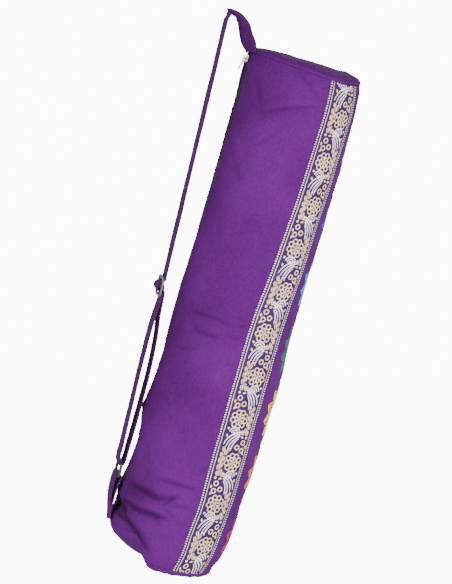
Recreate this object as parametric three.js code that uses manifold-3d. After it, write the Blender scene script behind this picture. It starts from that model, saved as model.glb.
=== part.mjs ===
// A round cotton bag for a rolled exercise mat, hanging by its shoulder strap.
// Millimetres, +Z up. The origin is the underside of the strap's crest, where the strap is hung up.
// The bag leans in the XZ plane; -Y is the side with the brocade ribbon, and the long zip faces -X.

import * as THREE from 'three';
import { mergeVertices } from 'three/addons/utils/BufferGeometryUtils.js';
import Module from 'manifold-3d';

const wasm = await Module();
wasm.setup();

// Bag body
const bagLength = 700;
const bagRadius = 85;
const clothWall = 2;
const bagTilt = 15.5;
const topBulge = 16;
const bottomBulge = 18;
const topSlant = 7;
const topRise = 13;
const topRiseAngle = 84;
const topRiseSpan = 36;
const bottomLift = 33;
const seamPinch = 2.2;
const seamReach = 9;
const gap = 0.35;

// Zip
const zipAngle = -79.4;
const slotWidth = 17;
const tapeWidth = 28;
const tapeThick = 0.9;
const teethWidth = 5.6;
const teethThick = 1.4;
const sliderLength = 11;
const sliderWidth = 9;
const sliderThick = 2.6;
const sliderFromSeam = 4;
const bridgeThick = 1.3;
const bridgeWidth = 2.4;
const bridgeOpening = 3;
const bridgeRun = 7.6;
const pullLength = 19;
const pullWidth = 6.6;
const pullThick = 1.4;
const pullEye = 6.4;
const pullLift = 7;

// Ribbons, sewn on each side of the embroidered front strip
const ribbonWidth = 60;
const ribbonThick = 1;
const ribbonAngle = 19.5;
const stripWidth = 121;

// Shoulder strap and its hardware
const strapWidth = 38;
const strapThick = 2.4;
const strapTurn = 9;
const attachAcross = 26.1;
const attachDown = 56;
const crestRadius = 2.2;
const crestDroop = 2.5;
const adjusterFromTab = 336.5;
const adjusterHeight = 29;
const adjusterBar = 4.5;
const adjusterThick = 3.4;
const adjusterWidth = 49;
const adjusterStandOff = 5.4;
const ringHeight = 25;
const ringWire = 4.6;
const ringWidth = 48;
const ringStandOff = 4.2;
const tabLength = 60;

// Grid: the cloth's rows, closer where it folds, and the steps round it
const rowShares = [
  0, 0.02, 0.05, 0.08, 0.11, 0.15, 0.21, 0.28, 0.35, 0.42, 0.48, 0.52, 0.56, 0.61, 0.66, 0.7, 0.73, 0.76,
  0.8, 0.83, 0.855, 0.875, 0.892, 0.908, 0.924, 0.94, 0.955, 0.97, 0.985, 1,
];
const stepDegrees = 8.6;
const ribbonSteps = 5;
const ribbonJoin = 3;
const capRings = 4;

// Cross sections down the bag. along is the share of its length, shift, wide and deep are shares of
// its radius, and turn is how far the cloth is twisted there, in degrees.
const sections = [
  { along: 0.0, shift: 0.0, wide: 0.985, deep: 0.985, turn: 8.0 },
  { along: 0.07, shift: 0.016, wide: 0.995, deep: 0.99, turn: 7.5 },
  { along: 0.21, shift: 0.018, wide: 0.998, deep: 1.0, turn: 4.8 },
  { along: 0.36, shift: 0.007, wide: 1.0, deep: 0.99, turn: 0.5 },
  { along: 0.5, shift: -0.014, wide: 0.997, deep: 0.98, turn: -4.2 },
  { along: 0.6, shift: -0.006, wide: 1.013, deep: 0.985, turn: -5.8 },
  { along: 0.7, shift: -0.02, wide: 1.02, deep: 0.98, turn: -5.6 },
  { along: 0.8, shift: -0.042, wide: 1.013, deep: 0.99, turn: -4.2 },
  { along: 0.87, shift: -0.07, wide: 1.005, deep: 1.0, turn: -2.2 },
  { along: 0.93, shift: -0.096, wide: 1.0, deep: 1.0, turn: -3.0 },
  { along: 0.97, shift: -0.127, wide: 0.985, deep: 0.99, turn: -2.2 },
  { along: 1.0, shift: -0.165, wide: 0.96, deep: 0.97, turn: -2.0 },
];

// Folds in the cloth, each a crease from one place to another. along is the share of the length,
// angle is round the bag in degrees, width and depth are shares of the radius, depth below 0 is a ridge.
const folds = [
  { fromAlong: 0.095, fromAngle: -62, toAlong: 0.1, toAngle: -37, width: 0.1, depth: 0.022 },
  { fromAlong: 0.1, fromAngle: -37, toAlong: 0.06, toAngle: 12, width: 0.1, depth: 0.028 },
  { fromAlong: 0.02, fromAngle: -60, toAlong: 0.1, toAngle: -37, width: 0.09, depth: 0.024 },
  { fromAlong: 0.5, fromAngle: -68, toAlong: 0.507, toAngle: -16, width: 0.11, depth: 0.026 },
  { fromAlong: 0.534, fromAngle: -36, toAlong: 0.54, toAngle: -11, width: 0.1, depth: 0.02 },
  { fromAlong: 0.845, fromAngle: -40, toAlong: 0.842, toAngle: 20, width: 0.09, depth: 0.03 },
  { fromAlong: 0.883, fromAngle: -80, toAlong: 0.88, toAngle: -20, width: 0.14, depth: 0.085 },
  { fromAlong: 0.88, fromAngle: -20, toAlong: 0.866, toAngle: 2, width: 0.1, depth: 0.035 },
  { fromAlong: 0.925, fromAngle: -80, toAlong: 0.916, toAngle: -40, width: 0.13, depth: 0.11 },
  { fromAlong: 0.916, fromAngle: -40, toAlong: 0.917, toAngle: 0, width: 0.12, depth: 0.05 },
  { fromAlong: 0.93, fromAngle: -76, toAlong: 0.97, toAngle: -18, width: 0.12, depth: 0.085 },
  { fromAlong: 0.902, fromAngle: -62, toAlong: 0.9, toAngle: -10, width: 0.15, depth: -0.05 },
  { fromAlong: 0.58, fromAngle: -85, toAlong: 0.665, toAngle: -85, width: 0.22, depth: 0.045 },
  { fromAlong: 0.71, fromAngle: -83, toAlong: 0.735, toAngle: -83, width: 0.18, depth: -0.035 },
  { fromAlong: 0.775, fromAngle: -85, toAlong: 0.845, toAngle: -85, width: 0.22, depth: 0.115 },
  { fromAlong: 0.874, fromAngle: -80, toAlong: 0.888, toAngle: -80, width: 0.18, depth: -0.05 },
  { fromAlong: 0.912, fromAngle: -84, toAlong: 0.918, toAngle: -84, width: 0.14, depth: 0.09 },
  { fromAlong: 0.93, fromAngle: -100, toAlong: 0.9, toAngle: -160, width: 0.14, depth: 0.07 },
  { fromAlong: 0.88, fromAngle: -105, toAlong: 0.86, toAngle: -170, width: 0.13, depth: 0.05 },
  { fromAlong: 0.0, fromAngle: -100, toAlong: 0.42, toAngle: -94, width: 0.2, depth: 0.045 },
  { fromAlong: 0.45, fromAngle: 210, toAlong: 0.47, toAngle: 262, width: 0.12, depth: 0.03 },
  { fromAlong: 0.12, fromAngle: 215, toAlong: 0.07, toAngle: 260, width: 0.12, depth: 0.03 },
  { fromAlong: 0.72, fromAngle: 190, toAlong: 0.7, toAngle: 250, width: 0.12, depth: 0.03 },
];

// The short run of the strap, from its crest to the bag: shares of attachAcross and attachDown.
const shortRun = [
  { across: 1.0, down: 1.0 },
  { across: 0.9, down: 0.66 },
  { across: 0.72, down: 0.4 },
  { across: 0.46, down: 0.16 },
  { across: 0.2, down: 0.02 },
];

// How the two layers of the doubled strap part between the adjuster and the ring: shares of that run,
// and of how far the ring's wire holds them apart.
const doubledRun = [
  { along: 0.1, outer: 0.05, inner: 1.4 },
  { along: 0.22, outer: 0.5, inner: 2.2 },
  { along: 0.45, outer: 0.8, inner: 2.6 },
  { along: 0.7, outer: 0.9, inner: 2.1 },
  { along: 0.9, outer: 1.0, inner: 1.5 },
];

const radians = THREE.MathUtils.degToRad;
const lerp = THREE.MathUtils.lerp;
const smoothstep = THREE.MathUtils.smoothstep;

function material(color, roughness, metalness = 0) {
  return new THREE.MeshStandardMaterial({ color, roughness, metalness });
}

const purpleCloth = material(0x5b2a7d, 0.9);
const strapCloth = material(0x542673, 0.9);
const brocade = material(0x8a7398, 0.7);
const zipBlack = material(0x14121a, 0.8);
const zipMetal = material(0xc9bba6, 0.3, 1);
const greyPlastic = material(0x5c5e60, 0.45);
const blackPlastic = material(0x1b1c1e, 0.45);

function mesh(name, geometry, look) {
  const made = new THREE.Mesh(geometry, look);
  made.name = name;
  return made;
}

// A value of the section table at a share of the length, on a smooth curve through its rows.
function sectionValue(column, along) {
  const last = sections.length - 1;
  let row = 0;
  while (row < last - 1 && along > sections[row + 1].along) row += 1;
  const a = sections[row];
  const b = sections[row + 1];
  const before = sections[Math.max(0, row - 1)];
  const after = sections[Math.min(last, row + 2)];
  const span = b.along - a.along;
  const share = THREE.MathUtils.clamp((along - a.along) / span, -0.2, 1.2);
  const slopeA = ((b[column] - before[column]) / Math.max(1e-6, b.along - before.along)) * span;
  const slopeB = ((after[column] - a[column]) / Math.max(1e-6, after.along - a.along)) * span;
  const s2 = share * share;
  const s3 = s2 * share;
  return (
    (2 * s3 - 3 * s2 + 1) * a[column] +
    (s3 - 2 * s2 + share) * slopeA +
    (3 * s2 - 2 * s3) * b[column] +
    (s3 - s2) * slopeB
  );
}

// How far the top and bottom seams lie from the bag's middle, down the bag, at an angle round it.
function topSeam(angle) {
  const away = ((((angle - topRiseAngle + 180) % 360) + 360) % 360) - 180;
  const rise = topRise * Math.exp(-((away / topRiseSpan) ** 2));
  return -bagLength / 2 + topSlant * Math.sin(radians(angle)) - rise;
}

function fromZip(angle) {
  return Math.abs(((((angle - zipAngle + 180) % 360) + 360) % 360) - 180);
}

function bottomSeam(angle) {
  return bagLength / 2 + topSlant - bottomLift * (1 - smoothstep(fromZip(angle), 48, 78));
}

// One crease: a valley with low banks, faded out at its ends.
function crease(fold, along, angle) {
  const wrap = ((((angle - fold.fromAngle + 180) % 360) + 360) % 360) - 180;
  const x = radians(wrap) * bagRadius;
  const y = (along - fold.fromAlong) * bagLength;
  const runX = radians(fold.toAngle - fold.fromAngle) * bagRadius;
  const runY = (fold.toAlong - fold.fromAlong) * bagLength;
  const runLength = Math.hypot(runX, runY);
  const share = (x * runX + y * runY) / (runLength * runLength);
  const held = THREE.MathUtils.clamp(share, 0, 1);
  const width = fold.width * bagRadius;
  const away = Math.hypot(x - held * runX, y - held * runY) / width;
  const fade = 0.35 + 0.65 * Math.sin(Math.PI * held);
  return -fold.depth * bagRadius * fade * (1.3 * Math.exp(-away * away) - 0.3 * Math.exp((-away * away) / 5));
}

// A point of the cloth's outer face: x to the right, y away from the viewer, z up along the bag.
// share is 0 at the top seam and 1 at the bottom seam.
function clothPoint(share, angle) {
  const top = topSeam(angle);
  const bottom = bottomSeam(angle);
  const down = lerp(top, bottom, share);
  const along = down / bagLength + 0.5;
  const fromSeam = Math.min(down - top, bottom - down);
  let out = -seamPinch * Math.exp(-((fromSeam / seamReach) ** 2));
  for (const fold of folds) out += crease(fold, along, angle);
  const turned = radians(angle + sectionValue('turn', along));
  const wide = bagRadius * sectionValue('wide', along) + out;
  const deep = bagRadius * sectionValue('deep', along) + out;
  const shift = bagRadius * sectionValue('shift', along);
  return new THREE.Vector3(shift + wide * Math.sin(turned), -deep * Math.cos(turned), -down);
}

// The outward normal of the cloth, from two short steps on it. At a seam it is level, so that the
// cloth's edge is flat there.
function clothNormal(share, angle) {
  const step = 0.004;
  const turn = 1.5;
  const low = Math.max(0, share - step);
  const high = Math.min(1, share + step);
  const downwards = clothPoint(high, angle).sub(clothPoint(low, angle));
  const round = clothPoint(share, angle + turn).sub(clothPoint(share, angle - turn));
  const normal = round.cross(downwards).negate();
  if (share <= 0 || share >= 1) normal.z = 0;
  return normal.normalize();
}

function offCloth(share, angle, distance) {
  return clothPoint(share, angle).addScaledVector(clothNormal(share, angle), distance);
}

// A closed solid from rows of points: every row is a closed loop, first one face and then the other
// back again, and both ends are capped. Both faces are split along the same diagonals.
function solidOfLoops(loops) {
  const count = loops[0].length;
  const half = count / 2;
  const positions = [];
  const index = [];
  for (const loop of loops) for (const p of loop) positions.push(p.x, p.y, p.z);
  for (let i = 0; i < loops.length - 1; i += 1) {
    for (let j = 0; j < count; j += 1) {
      const k = (j + 1) % count;
      const a = i * count + j;
      const b = i * count + k;
      const c = (i + 1) * count + k;
      const d = (i + 1) * count + j;
      if (j < half) index.push(a, b, c, a, c, d);
      else index.push(a, b, d, b, c, d);
    }
  }
  const capEnd = (base, flip) => {
    for (let j = 0; j < half - 1; j += 1) {
      const a = base + j;
      const b = base + j + 1;
      const c = base + count - 2 - j;
      const d = base + count - 1 - j;
      if (flip) index.push(a, b, c, a, c, d);
      else index.push(a, c, b, a, d, c);
    }
  };
  capEnd(0, false);
  capEnd((loops.length - 1) * count, true);
  const geometry = new THREE.BufferGeometry();
  geometry.setAttribute('position', new THREE.Float32BufferAttribute(positions, 3));
  geometry.setIndex(index);
  return outward(geometry);
}

// Turns a closed geometry's faces to point outwards, by the sign of its volume.
function outward(geometry) {
  const p = geometry.attributes.position;
  const index = geometry.index;
  const a = new THREE.Vector3();
  const b = new THREE.Vector3();
  const c = new THREE.Vector3();
  let volume = 0;
  for (let i = 0; i < index.count; i += 3) {
    a.fromBufferAttribute(p, index.getX(i));
    b.fromBufferAttribute(p, index.getX(i + 1));
    c.fromBufferAttribute(p, index.getX(i + 2));
    volume += a.dot(b.cross(c));
  }
  if (volume < 0) {
    for (let i = 0; i < index.count; i += 3) {
      const keep = index.getX(i + 1);
      index.setX(i + 1, index.getX(i + 2));
      index.setX(i + 2, keep);
    }
  }
  geometry.computeVertexNormals();
  return geometry;
}

// A sheet on the cloth, from one angle to another and from the top seam to the bottom one.
function sheetOnCloth(angles, innerOffset, outerOffset) {
  return solidOfLoops(
    rowShares.map((share) => {
      const outer = angles.map((angle) => offCloth(share, angle, outerOffset));
      const inner = angles.map((angle) => offCloth(share, angle, innerOffset)).reverse();
      return [...outer, ...inner];
    }),
  );
}

function evenAngles(from, to, steps) {
  return Array.from({ length: steps + 1 }, (_, i) => lerp(from, to, i / steps));
}

// Angles of the cloth's grid. The edges of both ribbons and of the zip tape are on it, so that they
// lie flat on the cloth.
const degreesOf = (width) => THREE.MathUtils.radToDeg(width / bagRadius);
const ribbonSpan = degreesOf(ribbonWidth);
const farRibbonAngle = ribbonAngle + ribbonSpan + degreesOf(stripWidth);
const slotHalf = degreesOf(slotWidth) / 2;
const tapeHalf = degreesOf(tapeWidth) / 2;
const teethHalf = degreesOf(teethWidth) / 2;
const stepsOver = (span) => Math.max(2, Math.round(span / stepDegrees));
const nearRibbonAngles = evenAngles(ribbonAngle, ribbonAngle + ribbonSpan, ribbonSteps);
const farRibbonAngles = evenAngles(farRibbonAngle, farRibbonAngle + ribbonSpan, ribbonSteps);
const zipEdges = (...halves) => [
  ...halves.map((half) => zipAngle - half),
  zipAngle,
  ...[...halves].reverse().map((half) => zipAngle + half),
];

function joinedAngles(...lists) {
  const all = [];
  for (const list of lists) all.push(...(all.length ? list.slice(1) : list));
  return all;
}

const tapeEnd = zipAngle + tapeHalf;
const tapeStart = zipAngle + 360 - tapeHalf;
const nearAngles = joinedAngles(
  [zipAngle + slotHalf, tapeEnd],
  evenAngles(tapeEnd, ribbonAngle, stepsOver(ribbonAngle - tapeEnd)),
  nearRibbonAngles.slice(0, ribbonJoin + 1),
);
const frontAngles = joinedAngles(
  nearRibbonAngles.slice(ribbonJoin),
  evenAngles(nearRibbonAngles.at(-1), farRibbonAngle, stepsOver(farRibbonAngle - nearRibbonAngles.at(-1))),
  farRibbonAngles.slice(0, ribbonSteps - ribbonJoin + 1),
);
const farAngles = joinedAngles(
  farRibbonAngles.slice(ribbonSteps - ribbonJoin),
  evenAngles(farRibbonAngles.at(-1), tapeStart, stepsOver(tapeStart - farRibbonAngles.at(-1))),
  [tapeStart, zipAngle + 360 - slotHalf],
);
const clothAngles = joinedAngles(nearAngles, frontAngles, farAngles);

// The three cloths meet under the ribbons, edge to edge with a gap. trimmed draws an edge back by half
// of it: -1 for the first edge, 1 for the last.
function trimmed(angles, ...edges) {
  const half = degreesOf(gap) / 2;
  const made = [...angles];
  if (edges.includes(-1)) made[0] += half;
  if (edges.includes(1)) made[made.length - 1] -= half;
  return made;
}

// End cap: a disc of cloth that puffs out past its seam, open towards the bag.
function endCap(seamShare, wayOut, bulge) {
  const ringAngles = [...clothAngles, zipAngle + 360];
  const rims = new Map([0, clothWall].map((wall) => [wall, ringAngles.map((a) => offCloth(seamShare, a, -wall))]));
  const rim = rims.get(0);
  const middle = new THREE.Vector3();
  for (const p of rim) middle.add(p);
  middle.multiplyScalar(1 / rim.length);
  const dome = (share, wall) =>
    rims.get(wall).map((p) => {
      const reach = 1 - share;
      const rise = (bulge - wall) * (1 - reach ** 3.5) ** 0.45;
      return new THREE.Vector3(
        lerp(middle.x, p.x, reach),
        lerp(middle.y, p.y, reach),
        lerp(middle.z, p.z, reach ** 2) + wayOut * (gap + rise),
      );
    });
  const count = rim.length;
  const positions = [];
  const index = [];
  const skins = [0, clothWall].map((wall) => {
    const start = positions.length / 3;
    for (let i = 0; i < capRings; i += 1) {
      const share = (i / capRings) ** 1.6;
      for (const p of dome(share, wall)) positions.push(p.x, p.y, p.z);
    }
    positions.push(middle.x, middle.y, middle.z + wayOut * (gap + bulge - wall));
    return start;
  });
  skins.forEach((start, skin) => {
    const face = (a, b, c) => (skin === 0 ? index.push(a, b, c) : index.push(a, c, b));
    for (let i = 0; i < capRings; i += 1) {
      for (let j = 0; j < count; j += 1) {
        const k = (j + 1) % count;
        const a = start + i * count + j;
        const b = start + i * count + k;
        if (i === capRings - 1) face(a, b, start + capRings * count);
        else {
          face(a, b, b + count);
          face(a, b + count, a + count);
        }
      }
    }
  });
  for (let j = 0; j < count; j += 1) {
    const k = (j + 1) % count;
    index.push(skins[0] + k, skins[0] + j, skins[1] + j, skins[0] + k, skins[1] + j, skins[1] + k);
  }
  const geometry = new THREE.BufferGeometry();
  geometry.setAttribute('position', new THREE.Float32BufferAttribute(positions, 3));
  geometry.setIndex(index);
  return outward(geometry);
}

// The zip: two tapes that read as one strip behind the slot, and the closed row of teeth in it.
const tapeOuter = -clothWall - gap;
const teethInner = tapeOuter + gap;
const tapeAngles = zipEdges(tapeHalf, slotHalf, teethHalf);
const teethAngles = zipEdges(teethHalf);

// A local frame on the cloth: along runs down the bag, out leaves the cloth, across is along x out.
function frameOnCloth(share, angle, distance) {
  const origin = offCloth(share, angle, distance);
  const out = clothNormal(share, angle);
  const along = clothPoint(share + 0.01, angle).sub(clothPoint(share, angle)).normalize();
  const across = new THREE.Vector3().crossVectors(along, out).normalize();
  along.crossVectors(out, across).normalize();
  return new THREE.Matrix4().makeBasis(across, along, out).setPosition(origin);
}

function toManifold(geometry) {
  const bare = geometry.clone();
  bare.deleteAttribute('normal');
  bare.deleteAttribute('uv');
  const merged = mergeVertices(bare, 1e-4);
  return new wasm.Manifold(
    new wasm.Mesh({
      numProp: 3,
      vertProperties: new Float32Array(merged.attributes.position.array),
      triVerts: new Uint32Array(merged.index.array),
    }),
  );
}

function fromManifold(solid) {
  const made = solid.getMesh();
  const geometry = new THREE.BufferGeometry();
  geometry.setAttribute('position', new THREE.Float32BufferAttribute(made.vertProperties, 3));
  geometry.setIndex(Array.from(made.triVerts));
  geometry.computeVertexNormals();
  return geometry;
}

function slab(outline, holes, thick) {
  const shape = new THREE.Shape(outline.map(([x, y]) => new THREE.Vector2(x, y)));
  shape.holes = holes.map((hole) => new THREE.Path(hole.map(([x, y]) => new THREE.Vector2(x, y))));
  const geometry = new THREE.ExtrudeGeometry(shape, { depth: thick, bevelEnabled: false });
  return geometry.translate(0, 0, -thick / 2);
}

function roundedBox(width, height, corner) {
  const x = width / 2;
  const y = height / 2;
  const c = corner;
  const d = corner * 0.3;
  return [
    [-x + c, -y], [x - c, -y], [x - d, -y + d], [x, -y + c],
    [x, y - c], [x - d, y - d], [x - c, y], [-x + c, y],
    [-x + d, y - d], [-x, y - c], [-x, -y + c], [-x + d, -y + d],
  ];
}

// The slider's place: just below the top seam, on the teeth.
const topZip = topSeam(zipAngle);
const zipRun = bottomSeam(zipAngle) - topZip;
const sliderShare = (sliderFromSeam + sliderLength / 2) / zipRun;
const sliderBase = teethInner + teethThick + gap;
const pivotHeight = sliderThick + bridgeOpening / 2;

function sliderBody() {
  const nose = sliderWidth * 0.3;
  const l = sliderLength / 2;
  const w = sliderWidth / 2;
  const plate = slab(
    [[-nose, l], [-w, l * 0.4], [-w * 0.8, -l], [w * 0.8, -l], [w, l * 0.4], [nose, l]],
    [],
    sliderThick,
  ).translate(0, 0, sliderThick / 2);
  const outer = bridgeRun / 2;
  const inner = outer - bridgeThick;
  const rise = bridgeOpening + bridgeThick;
  const foot = -sliderThick / 2;
  const arch = slab(
    [
      [-outer, foot], [-inner, foot], [-inner, bridgeOpening - bridgeThick * 0.5],
      [-inner * 0.6, bridgeOpening], [inner * 0.6, bridgeOpening],
      [inner, bridgeOpening - bridgeThick * 0.5], [inner, foot], [outer, foot],
      [outer, rise - bridgeThick], [outer * 0.6, rise], [-outer * 0.6, rise], [-outer, rise - bridgeThick],
    ],
    [],
    bridgeWidth,
  );
  // The arch is drawn in a plane along the zip: its x becomes along, its y becomes out.
  arch.applyMatrix4(
    new THREE.Matrix4().makeBasis(
      new THREE.Vector3(0, 1, 0),
      new THREE.Vector3(0, 0, 1),
      new THREE.Vector3(1, 0, 0),
    ),
  );
  arch.translate(0, 0, sliderThick);
  return fromManifold(toManifold(plate).add(toManifold(arch)));
}

// The pull: a flat tab with an eye, whose crossbar lies under the slider's bridge.
function pullTab() {
  const w = pullWidth / 2;
  const bar = pullThick;
  const eye = [
    [-w + bar, bar / 2], [w - bar, bar / 2], [w - bar, pullEye - bar], [-w + bar, pullEye - bar],
  ];
  const outline = [
    [-w + bar * 0.4, -bar / 2], [w - bar * 0.4, -bar / 2], [w, bar * 0.2],
    [w, pullEye], [w * 0.72, pullEye * 1.25], [w * 0.8, pullLength - w * 0.8],
    [w * 0.45, pullLength - bar / 2], [-w * 0.45, pullLength - bar / 2],
    [-w * 0.8, pullLength - w * 0.8], [-w * 0.72, pullEye * 1.25], [-w, pullEye], [-w, bar * 0.2],
  ];
  const tab = slab(outline, [eye], pullThick);
  return tab.rotateX(radians(pullLift));
}

// A flat strap along a path. Every row gives the middle, the width's direction, the width, the
// thickness, and how far the two edges hang below the middle, towards the inside of the turn.
function strapBody(rows) {
  const acrossShares = [-1, -0.5, 0, 0.5, 1];
  const loops = rows.map((row, i) => {
    const before = rows[Math.max(0, i - 1)].at;
    const after = rows[Math.min(rows.length - 1, i + 1)].at;
    const forward = after.clone().sub(before).normalize();
    const across = row.across.clone().addScaledVector(forward, -row.across.dot(forward)).normalize();
    const inner = new THREE.Vector3().crossVectors(across, forward).normalize();
    const place = (share, side) => {
      const edge = Math.abs(share) === 1 ? 0.55 : 1;
      return row.at
        .clone()
        .addScaledVector(across, (share * row.width) / 2)
        .addScaledVector(inner, (side * edge * strapThick) / 2 + row.droop * share * share);
    };
    return [
      ...acrossShares.map((share) => place(share, 1)),
      ...acrossShares.map((share) => place(share, -1)).reverse(),
    ];
  });
  return solidOfLoops(loops);
}

// Where the bag hangs: its top strap seam is attachAcross and attachDown from the crest.
const lean = new THREE.Matrix4().makeRotationY(radians(bagTilt));
const strapOff = gap + strapThick / 2;
const topHold = offCloth(0, zipAngle, strapOff);
const bottomHold = offCloth(1, zipAngle, strapOff);
const leanedTop = topHold.clone().applyMatrix4(lean);
const bagMiddle = new THREE.Vector3(attachAcross - leanedTop.x, 0, -attachDown - leanedTop.z);
const toWorld = (p) => p.clone().applyMatrix4(lean).add(bagMiddle);
const topEnd = toWorld(topHold);
const tabEnd = toWorld(bottomHold);

// The long side of the strap lies in one plane and leaves the crest's bend as a tangent: run goes down
// it, side is its width, and away is its outer face's normal.
const crestCentre = new THREE.Vector3(0, 0, -crestRadius);
const crestBend = crestRadius + strapThick / 2;
const toTab = new THREE.Vector3(tabEnd.x, 0, tabEnd.z).sub(crestCentre);
const tabRun = Math.sqrt(toTab.lengthSq() - crestBend ** 2);
const runLean = Math.atan2(-toTab.x, -toTab.z) - Math.asin(crestBend / toTab.length());
const run = new THREE.Vector3(-Math.sin(runLean), 0, -Math.cos(runLean));
const level = new THREE.Vector3(-run.z, 0, run.x);
const runStart = crestCentre.clone().addScaledVector(level, -crestBend);
const side = new THREE.Vector3(0, -Math.cos(radians(strapTurn)), 0);
side.addScaledVector(level, Math.sin(radians(strapTurn)));
const away = new THREE.Vector3().crossVectors(run, side).normalize();
if (away.x > 0) away.negate();
const onRun = (down, off) => runStart.clone().addScaledVector(run, down).addScaledVector(away, off);

const ringRun = tabRun - tabLength - ringHeight / 2;
const adjusterRun = tabRun - adjusterFromTab;
const railReach = (ringHeight - ringWire) / 2;
const layer = strapThick + gap;
const barHalf = adjusterThick / 2;
const behindBar = barHalf + gap + strapThick / 2;
const overBar = behindBar + layer;
const slotTall = (adjusterHeight - 3 * adjusterBar) / 2;
const midBarEdge = adjusterBar / 2;
const railTurn = ringWire / 2 + gap + strapThick / 2;

// The strap's rows on the long side: behind the adjuster's top bar, out over its middle bar, back
// behind its bottom bar, down to the ring, round the wire, and up again to the middle bar.
function longSideRows() {
  const a = adjusterRun;
  const n = adjusterStandOff;
  const slotMid = midBarEdge + slotTall * 0.62;
  const barFar = midBarEdge + slotTall + adjusterBar;
  const rows = [];
  const add = (down, off) => rows.push({ at: onRun(down, off), across: side });
  const free = 9;
  for (let i = 0; i <= free; i += 1) {
    const share = i / free;
    add(lerp(crestBend * 2, a - barFar - 14, share), (n - behindBar) * share);
  }
  add(a - barFar, n - behindBar);
  add(a - barFar + adjusterBar, n - behindBar);
  add(a - slotMid - 1.5, n - behindBar * 0.72);
  add(a - slotMid + 0.5, n + overBar * 0.1);
  add(a - midBarEdge - 2.6, n + overBar * 0.72);
  add(a - midBarEdge, n + overBar);
  add(a + midBarEdge, n + overBar);
  add(a + midBarEdge + 2.6, n + overBar * 0.72);
  add(a + slotMid - 0.5, n + overBar * 0.1);
  add(a + slotMid + 1.5, n - behindBar * 0.72);
  add(a + barFar - adjusterBar, n - behindBar);
  add(a + barFar, n - behindBar);
  const start = a + barFar;
  const end = ringRun - railReach;
  const outerRow = (row) => add(lerp(start, end, row.along), ringStandOff + row.outer * railTurn);
  const innerRow = (row) => add(lerp(start, end, row.along), ringStandOff - row.inner * railTurn);
  doubledRun.forEach(outerRow);
  const turns = 8;
  for (let i = 0; i <= turns; i += 1) {
    const t = (Math.PI * i) / turns;
    add(end + railTurn * Math.sin(t), ringStandOff + railTurn * Math.cos(t));
  }
  [...doubledRun].reverse().forEach(innerRow);
  add(start, n - behindBar - layer);
  add(a + barFar - adjusterBar, n - behindBar - layer);
  add(a + slotMid - 1, n - behindBar - layer * 0.55);
  add(a + midBarEdge, n - behindBar);
  add(a, n - behindBar);
  const wrap = 6;
  for (let i = 0; i <= wrap; i += 1) {
    const t = (Math.PI * i) / wrap;
    add(a - midBarEdge * 0.45 - (midBarEdge + strapThick * 0.5) * Math.sin(t), n - behindBar * Math.cos(t));
  }
  add(a + midBarEdge * 0.8, n + behindBar);
  return rows.map((row) => ({ ...row, width: strapWidth, droop: 0 }));
}

// The direction of a seam where the zip meets it, towards the viewer, and how far the seam's curve
// falls back at the strap's edges.
function alongSeam(share) {
  const near = clothPoint(share, zipAngle + slotHalf);
  return near.sub(clothPoint(share, zipAngle - slotHalf)).normalize().applyMatrix4(lean);
}

const seat = (strapWidth / 2) ** 2 / (2 * bagRadius);
const up = new THREE.Vector3(0, 0, 1).applyMatrix4(lean);

// The short side and the crest. The strap leaves the seam on the curve of the bag and gathers at
// the crest, where its edges hang down.
function shortSideRows() {
  const round = alongSeam(0);
  const path = shortRun.map((p) => new THREE.Vector3(attachAcross * p.across, 0, -attachDown * p.down));
  path.forEach((p, i) => {
    p.y = topEnd.y * (1 - i / path.length) ** 1.5;
  });
  path[0].copy(topEnd).addScaledVector(up, strapThick * 2);
  path.unshift(topEnd.clone().addScaledVector(up, gap));
  const rows = [];
  const add = (at, share) => {
    const across = round.clone().lerp(side, smoothstep(share, 0.1, 0.9)).normalize();
    const near = smoothstep(share, 0.75, 1);
    const droop = -seat * (1 - smoothstep(share, 0, 0.35)) + crestDroop * near;
    rows.push({ at, across, width: strapWidth * (1 - 0.08 * near), droop });
  };
  const bendFrom = radians(55);
  const bendTo = Math.PI + runLean;
  const onBend = (t) => crestCentre.clone().add(new THREE.Vector3(Math.cos(t), 0, Math.sin(t)).multiplyScalar(crestBend));
  path.push(onBend(bendFrom));
  const curve = new THREE.CatmullRomCurve3(path, false, 'centripetal');
  const steps = 13;
  for (let i = 0; i < steps; i += 1) add(curve.getPointAt(i / steps), i / steps);
  const turns = 6;
  for (let i = 0; i <= turns; i += 1) add(onBend(lerp(bendFrom, bendTo, i / turns)), 1);
  return rows;
}

function adjuster() {
  const open = adjusterWidth - 2 * adjusterBar;
  const slotAt = midBarEdge + slotTall / 2;
  const frame = slab(roundedBox(adjusterWidth, adjusterHeight, adjusterBar), [], adjusterThick);
  const slot = (y) => toManifold(new THREE.BoxGeometry(open, slotTall, adjusterThick * 2).translate(0, y, 0));
  return fromManifold(toManifold(frame).subtract(slot(slotAt)).subtract(slot(-slotAt)));
}

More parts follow.
